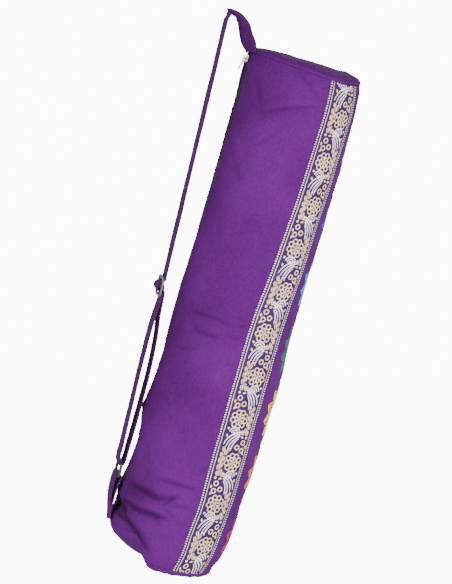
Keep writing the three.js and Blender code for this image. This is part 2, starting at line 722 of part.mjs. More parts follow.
function ring() {
  const x = (ringWidth - ringWire) / 2;
  const y = railReach;
  const c = ringWire;
  const corners = 3;
  const centres = [[x - c, y - c], [-x + c, y - c], [-x + c, -y + c], [x - c, -y + c]];
  const path = [];
  centres.forEach(([cx, cy], k) => {
    for (let i = 0; i <= corners; i += 1) {
      const t = (Math.PI / 2) * (k + i / corners);
      path.push([cx + c * Math.cos(t), cy + c * Math.sin(t)]);
    }
  });
  const sides = 8;
  const positions = [];
  const index = [];
  path.forEach(([px, py], i) => {
    const [ax, ay] = path[(i + path.length - 1) % path.length];
    const [bx, by] = path[(i + 1) % path.length];
    const out = new THREE.Vector2(by - ay, ax - bx).normalize();
    for (let j = 0; j < sides; j += 1) {
      const t = (2 * Math.PI * (j + 0.5)) / sides;
      const off = (ringWire / 2) * Math.cos(t);
      positions.push(px + out.x * off, py + out.y * off, (ringWire / 2) * Math.sin(t));
    }
  });
  for (let i = 0; i < path.length; i += 1) {
    for (let j = 0; j < sides; j += 1) {
      const n = ((i + 1) % path.length) * sides;
      const k = (j + 1) % sides;
      index.push(i * sides + j, n + j, n + k, i * sides + j, n + k, i * sides + k);
    }
  }
  const geometry = new THREE.BufferGeometry();
  geometry.setAttribute('position', new THREE.Float32BufferAttribute(positions, 3));
  geometry.setIndex(index);
  return outward(geometry);
}

// The tab: one strip folded over the ring's lower wire, both ends sewn into the bottom seam, where
// it turns to follow the seam.
function tabRows() {
  const wire = ringRun + railReach;
  const round = alongSeam(1);
  const out = clothNormal(1, zipAngle).applyMatrix4(lean);
  const rows = [];
  const add = (at, share) => {
    const across = round.clone().lerp(side, smoothstep(share, 0, 0.8)).normalize();
    rows.push({ at, across, width: strapWidth, droop: -seat * (1 - smoothstep(share, 0, 0.7)) });
  };
  const legs = 6;
  const leg = (i, layers, off) => {
    const share = i / legs;
    const low = tabEnd.clone().addScaledVector(out, layers * layer).addScaledVector(up, gap);
    const bow = 5 * seamPinch * share * (1 - share);
    add(low.lerp(onRun(wire, off), share).addScaledVector(out, bow), share);
  };
  for (let i = 0; i < legs; i += 1) leg(i, 1, ringStandOff + railTurn);
  const turns = 8;
  for (let i = 0; i <= turns; i += 1) {
    const t = (Math.PI * i) / turns;
    add(onRun(wire - railTurn * Math.sin(t), ringStandOff + railTurn * Math.cos(t)), 1);
  }
  for (let i = legs - 1; i >= 0; i -= 1) leg(i, 0, ringStandOff - railTurn);
  return rows;
}

const object = new THREE.Group();

const bag = new THREE.Group();
bag.position.copy(bagMiddle);
bag.rotation.y = radians(bagTilt);
object.add(bag);
const cloth = (angles, ...edges) => sheetOnCloth(trimmed(angles, ...edges), -clothWall, 0);
bag.add(mesh('near_panel', cloth(nearAngles, 1), purpleCloth));
bag.add(mesh('front_strip', cloth(frontAngles, -1, 1), purpleCloth));
bag.add(mesh('far_panel', cloth(farAngles, -1), purpleCloth));
bag.add(mesh('top_cap', endCap(0, 1, topBulge), purpleCloth));
bag.add(mesh('bottom_cap', endCap(1, -1, bottomBulge), purpleCloth));
bag.add(mesh('ribbon_near', sheetOnCloth(nearRibbonAngles, gap, gap + ribbonThick), brocade));
bag.add(mesh('ribbon_far', sheetOnCloth(farRibbonAngles, gap, gap + ribbonThick), brocade));
bag.add(mesh('zip_tape', sheetOnCloth(tapeAngles, tapeOuter - tapeThick, tapeOuter), zipBlack));
bag.add(mesh('zip_teeth', sheetOnCloth(teethAngles, teethInner, teethInner + teethThick), zipBlack));

const onZip = new THREE.Group();
onZip.applyMatrix4(frameOnCloth(sliderShare, zipAngle, sliderBase));
onZip.add(mesh('zip_slider', sliderBody(), zipMetal));
const pull = mesh('zip_pull', pullTab(), zipMetal);
pull.position.z = pivotHeight;
onZip.add(pull);
bag.add(onZip);

object.add(mesh('shoulder_strap', strapBody([...shortSideRows(), ...longSideRows()]), strapCloth));
object.add(mesh('bottom_tab', strapBody(tabRows()), strapCloth));

const strapPlane = new THREE.Matrix4().makeBasis(side, run.clone().negate(), away);
const adjusterPlace = new THREE.Group();
adjusterPlace.applyMatrix4(strapPlane.clone().setPosition(onRun(adjusterRun, adjusterStandOff)));
adjusterPlace.add(mesh('strap_adjuster', adjuster(), greyPlastic));
object.add(adjusterPlace);
const ringPlace = new THREE.Group();
ringPlace.applyMatrix4(strapPlane.clone().setPosition(onRun(ringRun, ringStandOff)));
ringPlace.add(mesh('strap_ring', ring(), blackPlastic));
object.add(ringPlace);

export default object;
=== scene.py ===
"""A round cotton bag for a rolled exercise mat, hanging by its shoulder strap.

Millimetres are used while shapes are worked out, and metres in the meshes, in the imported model's frame:
+Z up, the strap's crest at the origin, the brocade ribbon towards -Y and the zip towards -X.
"""

import math

import bmesh
import bpy
import numpy as np
from bpy.props import FloatProperty, FloatVectorProperty, IntProperty, PointerProperty
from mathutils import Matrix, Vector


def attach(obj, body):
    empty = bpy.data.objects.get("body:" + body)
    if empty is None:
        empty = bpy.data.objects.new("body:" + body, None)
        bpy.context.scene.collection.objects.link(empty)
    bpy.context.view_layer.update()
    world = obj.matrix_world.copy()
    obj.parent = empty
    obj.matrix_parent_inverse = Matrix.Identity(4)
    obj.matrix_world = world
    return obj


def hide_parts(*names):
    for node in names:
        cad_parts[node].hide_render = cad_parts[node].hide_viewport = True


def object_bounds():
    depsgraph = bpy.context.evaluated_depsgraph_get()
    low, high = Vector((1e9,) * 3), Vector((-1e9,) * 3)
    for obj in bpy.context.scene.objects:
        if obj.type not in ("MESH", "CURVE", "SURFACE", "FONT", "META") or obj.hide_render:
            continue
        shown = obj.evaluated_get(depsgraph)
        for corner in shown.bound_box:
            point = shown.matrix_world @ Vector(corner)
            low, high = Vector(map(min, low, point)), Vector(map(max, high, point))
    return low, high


bl_info = {
    "name": "Exercise mat bag",
    "version": (1, 0, 0),
    "blender": (4, 5, 0),
    "location": "View3D > Sidebar > Mat bag",
    "description": "Cloth, ribbons, zip and strap of a hanging mat bag",
    "category": "Add Mesh",
}

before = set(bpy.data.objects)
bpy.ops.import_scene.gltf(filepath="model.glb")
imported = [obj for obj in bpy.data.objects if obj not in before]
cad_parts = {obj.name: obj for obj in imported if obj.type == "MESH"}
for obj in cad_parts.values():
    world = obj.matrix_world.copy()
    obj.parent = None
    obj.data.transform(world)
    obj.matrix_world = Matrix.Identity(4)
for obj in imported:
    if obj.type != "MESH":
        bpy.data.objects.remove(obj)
cad_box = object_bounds()

MM = 0.001

# The bag's sizes, as in the part's source
BAG_LENGTH = 700.0
BAG_RADIUS = 85.0
CLOTH_WALL = 2.0
BAG_TILT = 15.5
TOP_BULGE = 16.0
BOTTOM_BULGE = 18.0
TOP_SLANT = 7.0
TOP_RISE = 13.0
TOP_RISE_ANGLE = 84.0
TOP_RISE_SPAN = 36.0
BOTTOM_LIFT = 33.0
SEAM_PINCH = 2.2
SEAM_REACH = 9.0
GAP = 0.35
ZIP_ANGLE = -79.4
SLOT_WIDTH = 17.0
TAPE_WIDTH = 28.0
TAPE_THICK = 0.9
TEETH_WIDTH = 5.6
TEETH_THICK = 1.4
RIBBON_WIDTH = 60.0
RIBBON_ANGLE = 19.5
STRIP_WIDTH = 121.0
STRAP_WIDTH = 38.0
STRAP_THICK = 2.4
STRAP_TURN = 9.0
ATTACH_ACROSS = 26.1
ATTACH_DOWN = 56.0
CREST_RADIUS = 2.2
CREST_DROOP = 2.5
ADJUSTER_FROM_TAB = 336.5
ADJUSTER_HEIGHT = 29.0
ADJUSTER_BAR = 4.5
ADJUSTER_THICK = 3.4
ADJUSTER_STAND_OFF = 5.4
RING_HEIGHT = 25.0
RING_WIRE = 4.6
RING_WIDTH = 48.0
RING_STAND_OFF = 4.2
TAB_LENGTH = 60.0

# How far the strap's short run turns its face to the viewer's side, as a share of its width
FACE_TURN = 0.2

# Distances from a seam and from the zip over which the cloth's small forms grow to full height
SEAM_FREE = 14.0
ZIP_FREE = 9.0

# The stage, in metres: the floor's distance under the bag, its radius and spokes, and the camera's
# target, distance, rise in degrees and lens for a picture 584 pixels high
FLOOR_DROP = 0.05
FLOOR_REACH = 4.5
FLOOR_SPOKES = 48
CAMERA_TARGET = (-0.00555, 0.0, -0.3887)
CAMERA_AWAY = 2.8
CAMERA_RISE = 5.0
CAMERA_SENSOR = 36.0
CAMERA_LENS = 2000.0 / 584.0 * CAMERA_SENSOR

# Shares of the strap's half width at which its section is worked out
ACROSS_STRAP = (0, 0.25, 0.5, 0.72, 0.8, 0.85, 0.9, 0.95, 0.985, 1)

# Cross sections down the bag: share of its length, shift, wide and deep in shares of its radius,
# and the cloth's twist in degrees.
SECTIONS = np.array([
    (0.0, 0.0, 0.985, 0.985, 8.0),
    (0.07, 0.016, 0.995, 0.99, 7.5),
    (0.21, 0.018, 0.998, 1.0, 4.8),
    (0.36, 0.007, 1.0, 0.99, 0.5),
    (0.5, -0.014, 0.997, 0.98, -4.2),
    (0.6, -0.006, 1.013, 0.985, -5.8),
    (0.7, -0.02, 1.02, 0.98, -5.6),
    (0.8, -0.042, 1.013, 0.99, -4.2),
    (0.87, -0.07, 1.005, 1.0, -2.2),
    (0.93, -0.096, 1.0, 1.0, -3.0),
    (0.97, -0.127, 0.985, 0.99, -2.2),
    (1.0, -0.165, 0.96, 0.97, -2.0),
])
SHIFT, WIDE, DEEP, TURN = 1, 2, 3, 4

# Broad folds: from along, from angle, to along, to angle, then width and depth in shares of the radius
FOLDS = (
    (0.095, -62, 0.1, -37, 0.1, 0.012),
    (0.1, -37, 0.06, 12, 0.1, 0.015),
    (0.02, -60, 0.1, -37, 0.09, 0.013),
    (0.5, -68, 0.507, -16, 0.11, 0.026),
    (0.534, -36, 0.54, -11, 0.1, 0.02),
    (0.845, -40, 0.842, 20, 0.09, 0.03),
    (0.883, -80, 0.88, -20, 0.14, 0.085),
    (0.88, -20, 0.866, 2, 0.1, 0.035),
    (0.925, -80, 0.916, -40, 0.13, 0.11),
    (0.916, -40, 0.917, 0, 0.12, 0.05),
    (0.93, -76, 0.97, -18, 0.12, 0.085),
    (0.902, -62, 0.9, -10, 0.15, -0.05),
    (0.58, -85, 0.665, -85, 0.22, 0.045),
    (0.71, -83, 0.735, -83, 0.18, -0.035),
    (0.775, -85, 0.845, -85, 0.22, 0.115),
    (0.874, -80, 0.888, -80, 0.18, -0.05),
    (0.912, -84, 0.918, -84, 0.14, 0.09),
    (0.93, -100, 0.9, -160, 0.14, 0.07),
    (0.88, -105, 0.86, -170, 0.13, 0.05),
    (0.0, -100, 0.42, -94, 0.2, 0.045),
    (0.45, 210, 0.47, 262, 0.12, 0.03),
    (0.12, 215, 0.07, 260, 0.12, 0.03),
    (0.72, 190, 0.7, 250, 0.12, 0.03),
)

# Sharp creases that the broad folds don't have: width and depth in millimetres, the height of the bank
# on their upper side as a share of the depth, and the places (along, angle) they run through
CREASES = (
    (2.6, 0.8, 0.7, ((0.032, -55), (0.057, -47), (0.075, -43), (0.094, -37))),
    (3.0, 1.1, 0.9, ((0.094, -37), (0.084, -25.5), (0.072, -13), (0.064, 0), (0.055, 15))),
    (2.4, 0.6, 0.5, ((0.084, -53.5), (0.09, -45), (0.094, -37))),
    (2.4, 0.7, 0.6, ((0.0, -16), (0.019, -1), (0.033, 8), (0.051, 16))),
    (3.0, 0.5, 0.4, ((0.114, -15), (0.127, -19), (0.15, -28), (0.166, -38))),
    (3.2, 0.6, 0.5, ((0.19, -52), (0.208, -46), (0.226, -40), (0.236, -33.5))),
    (2.4, 0.5, 0.5, ((0.434, -38), (0.447, -30))),
    (2.6, 1.0, 0.9, ((0.503, -43), (0.505, -30), (0.503, -14), (0.507, -3), (0.512, 6))),
    (2.2, 0.7, 0.6, ((0.502, 6), (0.505, 13), (0.5085, 20))),
    (2.2, 0.5, 0.4, ((0.492, 5), (0.494, 16.5))),
    (2.6, 0.9, 0.8, ((0.526, -37), (0.5375, -29), (0.537, -18.5), (0.538, -10), (0.537, -2))),
    (2.2, 0.6, 0.5, ((0.524, 2), (0.53, 10), (0.523, 19))),
    (3.0, 0.6, 0.5, ((0.583, -43), (0.57, -21))),
    (2.2, 1.1, 0.8, ((0.838, -27), (0.84, -12), (0.838, 3), (0.841, 17))),
    (3.4, -0.6, 0.0, ((0.766, -53.5), (0.785, -42.5), (0.811, -35), (0.828, -28))),
    (3.2, 1.9, 0.7, ((0.873, -63), (0.873, -43), (0.874, -31), (0.876, -20), (0.871, -10.5), (0.862, -3))),
    (2.4, 1.0, 0.6, ((0.889, -14), (0.877, -9), (0.862, -3))),
    (2.2, 0.9, 0.6, ((0.886, -7), (0.879, 3), (0.8775, 15))),
    (3.0, 2.6, 0.7, (
        (0.907, -62), (0.907, -50), (0.911, -41), (0.912, -32), (0.911, -21), (0.913, -13), (0.92, -10),
    )),
    (2.4, 1.2, 0.7, ((0.908, -21), (0.91, -11), (0.911, -1))),
    (2.4, 0.9, 0.6, ((0.891, -9), (0.896, -3), (0.905, 2))),
    (2.2, 0.5, 0.5, ((0.914, 5), (0.911, 14))),
    (3.2, 2.4, 0.7, ((0.922, -67), (0.929, -54), (0.941, -41), (0.955, -30), (0.972, -18), (0.982, -9))),
    (2.6, 1.6, 0.6, ((0.939, -78), (0.941, -61), (0.944, -47), (0.949, -38), (0.963, -31))),
    (2.8, 0.9, 0.6, ((0.3, 232), (0.31, 214), (0.325, 200))),
    (2.8, 0.9, 0.6, ((0.62, 255), (0.63, 236), (0.625, 215))),
    (3.0, 1.6, 0.6, ((0.915, 262), (0.9, 240), (0.905, 222))),
    (3.0, 1.4, 0.6, ((0.95, 255), (0.945, 236), (0.955, 215))),
)

# Waves of the uneven cloth: wavelength and height in millimetres, direction and phase in degrees
WAVES = (
    (150, 0.42, 12, 40), (118, 0.34, -28, 190), (96, 0.26, 64, 300), (74, 0.22, -9, 75),
    (61, 0.17, 33, 230), (49, 0.14, -52, 10), (41, 0.11, 81, 120), (33, 0.09, 18, 270),
    (26, 0.06, -35, 330), (19, 0.05, 49, 160), (14, 0.035, -71, 95), (11, 0.03, 7, 20),
)

# The short run of the strap, from its crest to the bag, and how its doubled layers part: as in the part
SHORT_RUN = ((1.0, 1.0), (0.9, 0.66), (0.72, 0.4), (0.46, 0.16), (0.2, 0.02))
DOUBLED_RUN = ((0.1, 0.05, 1.4), (0.22, 0.5, 2.2), (0.45, 0.8, 2.6), (0.7, 0.9, 2.1), (0.9, 1.0, 1.5))

# Embroidered rosettes down the front strip: place down the bag in millimetres, and thread colour
ROSETTES = (
    (-261.2, (0.85, 0.84, 0.88)),
    (-165.9, (0.06, 0.04, 0.36)),
    (-70.6, (0.03, 0.30, 0.78)),
    (25.2, (0.0, 0.15, 0.07)),
    (117.6, (0.90, 0.52, 0.0)),
    (213.8, (0.90, 0.19, 0.0)),
    (309.4, (0.52, 0.0, 0.02)),
)
ROSETTE_RADIUS = 45.0


def unit(v):
    return v / np.linalg.norm(v, axis=-1, keepdims=True)


def ease(x, low, high):
    """Smooth step: 0 below low, 1 above high, and 3t^2 - 2t^3 between."""
    t = np.clip((x - low) / (high - low), 0, 1)
    return t * t * (3 - 2 * t)


def mix(a, b, t):
    return a + (b - a) * t


def degrees_of(width):
    return math.degrees(width / BAG_RADIUS)


RIBBON_SPAN = degrees_of(RIBBON_WIDTH)
FAR_RIBBON_ANGLE = RIBBON_ANGLE + RIBBON_SPAN + degrees_of(STRIP_WIDTH)
STRIP_MIDDLE = RIBBON_ANGLE + RIBBON_SPAN + degrees_of(STRIP_WIDTH) / 2
RIBBON_EDGES = (
    RIBBON_ANGLE, RIBBON_ANGLE + RIBBON_SPAN, FAR_RIBBON_ANGLE, FAR_RIBBON_ANGLE + RIBBON_SPAN,
)
NEAR_JOIN = RIBBON_ANGLE + 0.6 * RIBBON_SPAN
FAR_JOIN = FAR_RIBBON_ANGLE + 0.4 * RIBBON_SPAN
SLOT_HALF = degrees_of(SLOT_WIDTH) / 2
TAPE_HALF = degrees_of(TAPE_WIDTH) / 2
TEETH_HALF = degrees_of(TEETH_WIDTH) / 2
TAPE_OUTER = -CLOTH_WALL - GAP
TEETH_INNER = TAPE_OUTER + GAP


def section(column, along):
    """A column of SECTIONS at a share of the length, on a cubic curve through its rows whose slope at
    each row is that of the line between its two neighbours."""
    knots = SECTIONS[:, 0]
    values = SECTIONS[:, column]
    last = len(knots) - 1
    row = np.searchsorted(knots[1:-1], along, side="left")
    before = np.maximum(row - 1, 0)
    after = np.minimum(row + 2, last)
    span = knots[row + 1] - knots[row]
    t = np.clip((along - knots[row]) / span, -0.2, 1.2)
    slope_a = (values[row + 1] - values[before]) / np.maximum(1e-6, knots[row + 1] - knots[before]) * span
    slope_b = (values[after] - values[row]) / np.maximum(1e-6, knots[after] - knots[row]) * span
    return (
        (2 * t**3 - 3 * t**2 + 1) * values[row]
        + (t**3 - 2 * t**2 + t) * slope_a
        + (3 * t**2 - 2 * t**3) * values[row + 1]
        + (t**3 - t**2) * slope_b
    )


def wrapped(angle, about):
    """An angle brought to within half a turn of another."""
    return (angle - about + 180) % 360 - 180


def top_seam(angle):
    """How far the top seam lies from the bag's middle: slanted as a sine, and higher over the strip."""
    rise = TOP_RISE * np.exp(-((wrapped(angle, TOP_RISE_ANGLE) / TOP_RISE_SPAN) ** 2))
    return -BAG_LENGTH / 2 + TOP_SLANT * np.sin(np.radians(angle)) - rise


def bottom_seam(angle):
    lift = 1 - ease(np.abs(wrapped(angle, ZIP_ANGLE)), 48, 78)
    return BAG_LENGTH / 2 + TOP_SLANT - BOTTOM_LIFT * lift


def broad_fold(fold, along, angle):
    """One broad crease: depth times 1.3 exp(-a^2) less 0.3 exp(-a^2 / 5), where a is the distance from
    the crease's line in widths, faded towards its ends by a half sine."""
    from_along, from_angle, to_along, to_angle, width, depth = fold
    x = np.radians(wrapped(angle, from_angle)) * BAG_RADIUS
    y = (along - from_along) * BAG_LENGTH
    run_x = math.radians(to_angle - from_angle) * BAG_RADIUS
    run_y = (to_along - from_along) * BAG_LENGTH
    held = np.clip((x * run_x + y * run_y) / (run_x**2 + run_y**2), 0, 1)
    away = np.hypot(x - held * run_x, y - held * run_y) / (width * BAG_RADIUS)
    fade = 0.35 + 0.65 * np.sin(np.pi * held)
    return -depth * BAG_RADIUS * fade * (1.3 * np.exp(-away**2) - 0.3 * np.exp(-away**2 / 5))


def from_line(x, y, points):
    """Distance from a line through points, the side of it, and the share of its length: over all its
    pieces, the nearest one counts."""
    points = np.asarray(points, float)
    steps = np.diff(points, axis=0)
    lengths = np.hypot(steps[:, 0], steps[:, 1])
    starts = np.concatenate([[0], np.cumsum(lengths)])
    best = np.full(x.shape, 1e9)
    side = np.zeros(x.shape)
    share = np.zeros(x.shape)
    for (px, py), (sx, sy), length, start in zip(points, steps, lengths, starts):
        dx = x - px
        dy = y - py
        held = np.clip((dx * sx + dy * sy) / length**2, 0, 1)
        away = np.hypot(dx - held * sx, dy - held * sy)
        near = away < best
        best = np.where(near, away, best)
        side = np.where(near, np.sign(sx * dy - sy * dx), side)
        share = np.where(near, (start + held * length) / starts[-1], share)
    return best, side, share


def sharp_crease(crease, along, angle):
    """One sharp crease: a valley that falls off as exp(-distance / width), with a rounded bank on its
    upper side, both faded towards the ends of its line by a half sine's root. Gives the height, and
    the crease's painted shade: a band over the valley, centred a little below it."""
    width, depth, bank, places = crease
    about = places[0][1]
    line = [(math.radians(a - about) * BAG_RADIUS, s * BAG_LENGTH) for s, a in places]
    x = np.radians(wrapped(angle, about)) * BAG_RADIUS
    y = along * BAG_LENGTH
    away, side, share = from_line(x, y, line)
    if places[-1][1] < places[0][1]:
        side = -side
    fade = np.sqrt(np.sin(np.pi * np.clip(share, 0.02, 0.98)))
    valley = np.exp(-np.sqrt(away**2 + 0.4) / width)
    above = np.where(side < 0, away, -away)
    rise = bank * np.exp(-(((above - 2.4 * width) / (1.7 * width)) ** 2))
    shade = depth * fade * np.exp(-((above + 0.6 * width) / (1.1 * width)) ** 2)
    return depth * fade * (rise - valley) * np.exp(-((away / (9 * width)) ** 2)), shade


def crease_shade(share, angle):
    """How much painted shade its creases give each place of the cloth, from 0 to 1: the sum of the
    sharp creases' valleys and of the broad ones, held at 1."""
    down = mix(top_seam(angle), bottom_seam(angle), share)
    along = down / BAG_LENGTH + 0.5
    total = np.zeros(share.shape)
    for crease in CREASES:
        total = total + 0.55 * np.maximum(sharp_crease(crease, along, angle)[1], 0)
    for fold in FOLDS:
        total = total + 0.04 * np.maximum(-broad_fold(fold, along, angle), 0)
    return np.clip(total, 0, 1)


def cloth_local(share, angle):
    """The cloth's outer face in the bag's own frame. Share runs from the top seam to the bottom one,
    and the angle round the bag from the viewer's side: the point lies on an ellipse with the section's
    half widths plus the folds, turned by the section's twist, at the height that share gives."""
    share, angle = np.broadcast_arrays(np.asarray(share, float), np.asarray(angle, float))
    look = bpy.context.scene.bag_cloth
    top = top_seam(angle)
    bottom = bottom_seam(angle)
    down = mix(top, bottom, share)
    along = down / BAG_LENGTH + 0.5
    from_seam = np.minimum(down - top, bottom - down)
    out = -SEAM_PINCH * np.exp(-((from_seam / SEAM_REACH) ** 2))
    for fold in FOLDS:
        out = out + broad_fold(fold, along, angle)
    free = 1 - np.exp(-((from_seam / SEAM_FREE) ** 2))
    zip_arc = np.radians(np.abs(wrapped(angle, ZIP_ANGLE))) * BAG_RADIUS
    free = free * (1 - np.exp(-((zip_arc / ZIP_FREE) ** 2)))
    fine = np.zeros(share.shape)
    for crease in CREASES:
        fine = fine + sharp_crease(crease, along, angle)[0]
    arc = np.radians(angle) * BAG_RADIUS
    for wavelength, height, direction, phase in WAVES:
        turn = math.radians(direction)
        run = arc * math.cos(turn) + down * math.sin(turn)
        fine = fine + look.unevenness * height * np.sin(2 * np.pi * run / wavelength + math.radians(phase))
    out = out + look.crease_depth * fine * free
    out = out + look.pucker * pucker(arc, down, from_seam, zip_arc, angle)
    turned = np.radians(angle + section(TURN, along))
    wide = BAG_RADIUS * section(WIDE, along) + out
    deep = BAG_RADIUS * section(DEEP, along) + out
    x = BAG_RADIUS * section(SHIFT, along) + wide * np.sin(turned)
    return np.stack([x, -deep * np.cos(turned), -down], axis=-1)


def pucker(arc, down, from_seam, zip_arc, angle):
    """Small puckers along the sewn lines: a sine along the line, with a wandering phase, times
    exp(-distance from the line / reach)."""
    wander = 1.7 * np.sin(arc / 23.0) + 1.1 * np.sin(down / 31.0 + 1.3)
    seam = np.sin(2 * np.pi * arc / 10.5 + wander) * np.exp(-from_seam / 7)
    slot = np.sin(2 * np.pi * down / 13 + wander) * np.exp(-((zip_arc - SLOT_WIDTH / 2 - 5) / 5) ** 2)
    lines = 0
    for edge in RIBBON_EDGES:
        away = np.abs(np.radians(wrapped(angle, edge))) * BAG_RADIUS
        lines = lines + np.sin(2 * np.pi * down / 15 + wander + edge) * np.exp(-away / 5)
    return 0.3 * seam + 0.25 * slot + 0.22 * lines


def cloth_normal(share, angle):
    """The outward normal, from two short steps on the cloth. At a seam it is level."""
    share, angle = np.broadcast_arrays(np.asarray(share, float), np.asarray(angle, float))
    low = np.maximum(0, share - 0.003)
    high = np.minimum(1, share + 0.003)
    downwards = cloth_local(high, angle) - cloth_local(low, angle)
    around = cloth_local(share, angle + 1.2) - cloth_local(share, angle - 1.2)
    normal = -np.cross(around, downwards)
    at_seam = (share <= 0) | (share >= 1)
    normal[..., 2] = np.where(at_seam, 0, normal[..., 2])
    return unit(normal)


def lean(p):
    """Turns directions from the bag's own frame into the row frame, about Y by the bag's tilt."""
    c = math.cos(math.radians(BAG_TILT))
    s = math.sin(math.radians(BAG_TILT))
    p = np.asarray(p, float)
    return np.stack([p[..., 0] * c + p[..., 2] * s, p[..., 1], -p[..., 0] * s + p[..., 2] * c], axis=-1)


def off_cloth(share, angle, distance):
    return cloth_local(share, angle) + cloth_normal(share, angle) * distance


class StrapLine:
    """Where the strap runs. It leaves the crest's bend as a tangent, goes straight down beside the bag
    to the tab, and lies in one plane turned a little about its length."""

    def __init__(self):
        hold = GAP + STRAP_THICK / 2
        top = lean(off_cloth(0.0, ZIP_ANGLE, hold))
        self.middle = np.array([ATTACH_ACROSS - top[0], 0, -ATTACH_DOWN - top[2]])
        self.top_end = top + self.middle
        self.tab_end = lean(off_cloth(1.0, ZIP_ANGLE, hold)) + self.middle
        self.centre = np.array([0, 0, -CREST_RADIUS])
        self.bend = CREST_RADIUS + STRAP_THICK / 2
        to_tab = np.array([self.tab_end[0], 0, self.tab_end[2]]) - self.centre
        far = np.linalg.norm(to_tab)
        self.tab_run = math.sqrt(far**2 - self.bend**2)
        self.lean = math.atan2(-to_tab[0], -to_tab[2]) - math.asin(self.bend / far)
        self.run = np.array([-math.sin(self.lean), 0, -math.cos(self.lean)])
        level = np.array([-self.run[2], 0, self.run[0]])
        self.level = level
        self.start = self.centre - level * self.bend
        turn = math.radians(STRAP_TURN)
        self.side = np.array([0, -math.cos(turn), 0]) + level * math.sin(turn)
        self.away = unit(np.cross(self.run, self.side))
        if self.away[0] > 0:
            self.away = -self.away
        self.up = lean([0, 0, 1])
        self.ring_run = self.tab_run - TAB_LENGTH - RING_HEIGHT / 2
        self.adjuster_run = self.tab_run - ADJUSTER_FROM_TAB
        self.rail_reach = (RING_HEIGHT - RING_WIRE) / 2
        self.rail_turn = RING_WIRE / 2 + GAP + STRAP_THICK / 2
        self.layer = STRAP_THICK + GAP
        self.seat = (STRAP_WIDTH / 2) ** 2 / (2 * BAG_RADIUS)

    def on_run(self, down, off):
        return self.start + self.run * down + self.away * off

    def along_seam(self, share):
        near = cloth_local(share, ZIP_ANGLE + SLOT_HALF)
        return lean(unit(near - cloth_local(share, ZIP_ANGLE - SLOT_HALF)))


def to_row(line, p):
    """From the bag's own frame in millimetres to the row frame in metres."""
    return (lean(p) + line.middle) * MM


def catmull_rom(points, count):
    """Points at even steps of a centripetal curve through the given ones: each span is a cubic whose
    end slopes come from neighbours spaced by the root of their distance."""
    p = np.asarray(points, float)
    p = np.vstack([2 * p[0] - p[1], p, 2 * p[-1] - p[-2]])
    fine = np.linspace(0, 1, 60)[:, None]
    spans = []
    for a, b, c, d in zip(p[:-3], p[1:-2], p[2:-1], p[3:]):
        ta, tb, tc = (max(np.linalg.norm(v) ** 0.5, 1e-4) for v in (b - a, c - b, d - c))
        slope_b = ((b - a) / ta - (c - a) / (ta + tb) + (c - b) / tb) * tb
        slope_c = ((c - b) / tb - (d - b) / (tb + tc) + (d - c) / tc) * tb
        spans.append(
            b + slope_b * fine
            + (-3 * b + 3 * c - 2 * slope_b - slope_c) * fine**2
            + (2 * b - 2 * c + slope_b + slope_c) * fine**3
        )
    dense = np.vstack(spans)
    run = np.concatenate([[0], np.cumsum(np.linalg.norm(np.diff(dense, axis=0), axis=1))])
    even = np.arange(count) / count * run[-1]
    return np.stack([np.interp(even, run, dense[:, k]) for k in range(3)], axis=-1)


def short_side_rows(line):
    """The strap from the bag's top seam to its crest: it leaves the seam on the curve of the bag and
    gathers at the crest, where its edges hang down."""
    around = line.along_seam(0.0)
    path = [np.array([ATTACH_ACROSS * a, 0, -ATTACH_DOWN * d]) for a, d in SHORT_RUN]
    for i, p in enumerate(path):
        p[1] = line.top_end[1] * (1 - i / len(path)) ** 1.5
    path[0] = line.top_end + line.up * STRAP_THICK * 2
    path.insert(0, line.top_end + line.up * GAP)
    bend_from = math.radians(55)
    bend_to = math.pi + line.lean

    def on_bend(t):
        return line.centre + np.array([math.cos(t), 0, math.sin(t)]) * line.bend

    path.append(on_bend(bend_from))
    rows = []

    def add(at, share):
        near = float(ease(share, 0.75, 1))
        across = mix(around, line.side, float(ease(share, 0.45, 1.0)))
        across = unit(across + line.level * FACE_TURN * math.sin(math.pi * min(share, 1)) ** 1.5)
        droop = -line.seat * (1 - float(ease(share, 0, 0.35))) + CREST_DROOP * near
        rows.append((at, across, STRAP_WIDTH * (1 - 0.08 * near), droop))

    steps = 13
    for i, at in enumerate(catmull_rom(path, steps)):
        add(at, i / steps)
    turns = 6
    for i in range(turns + 1):
        add(on_bend(mix(bend_from, bend_to, i / turns)), 1)
    return rows


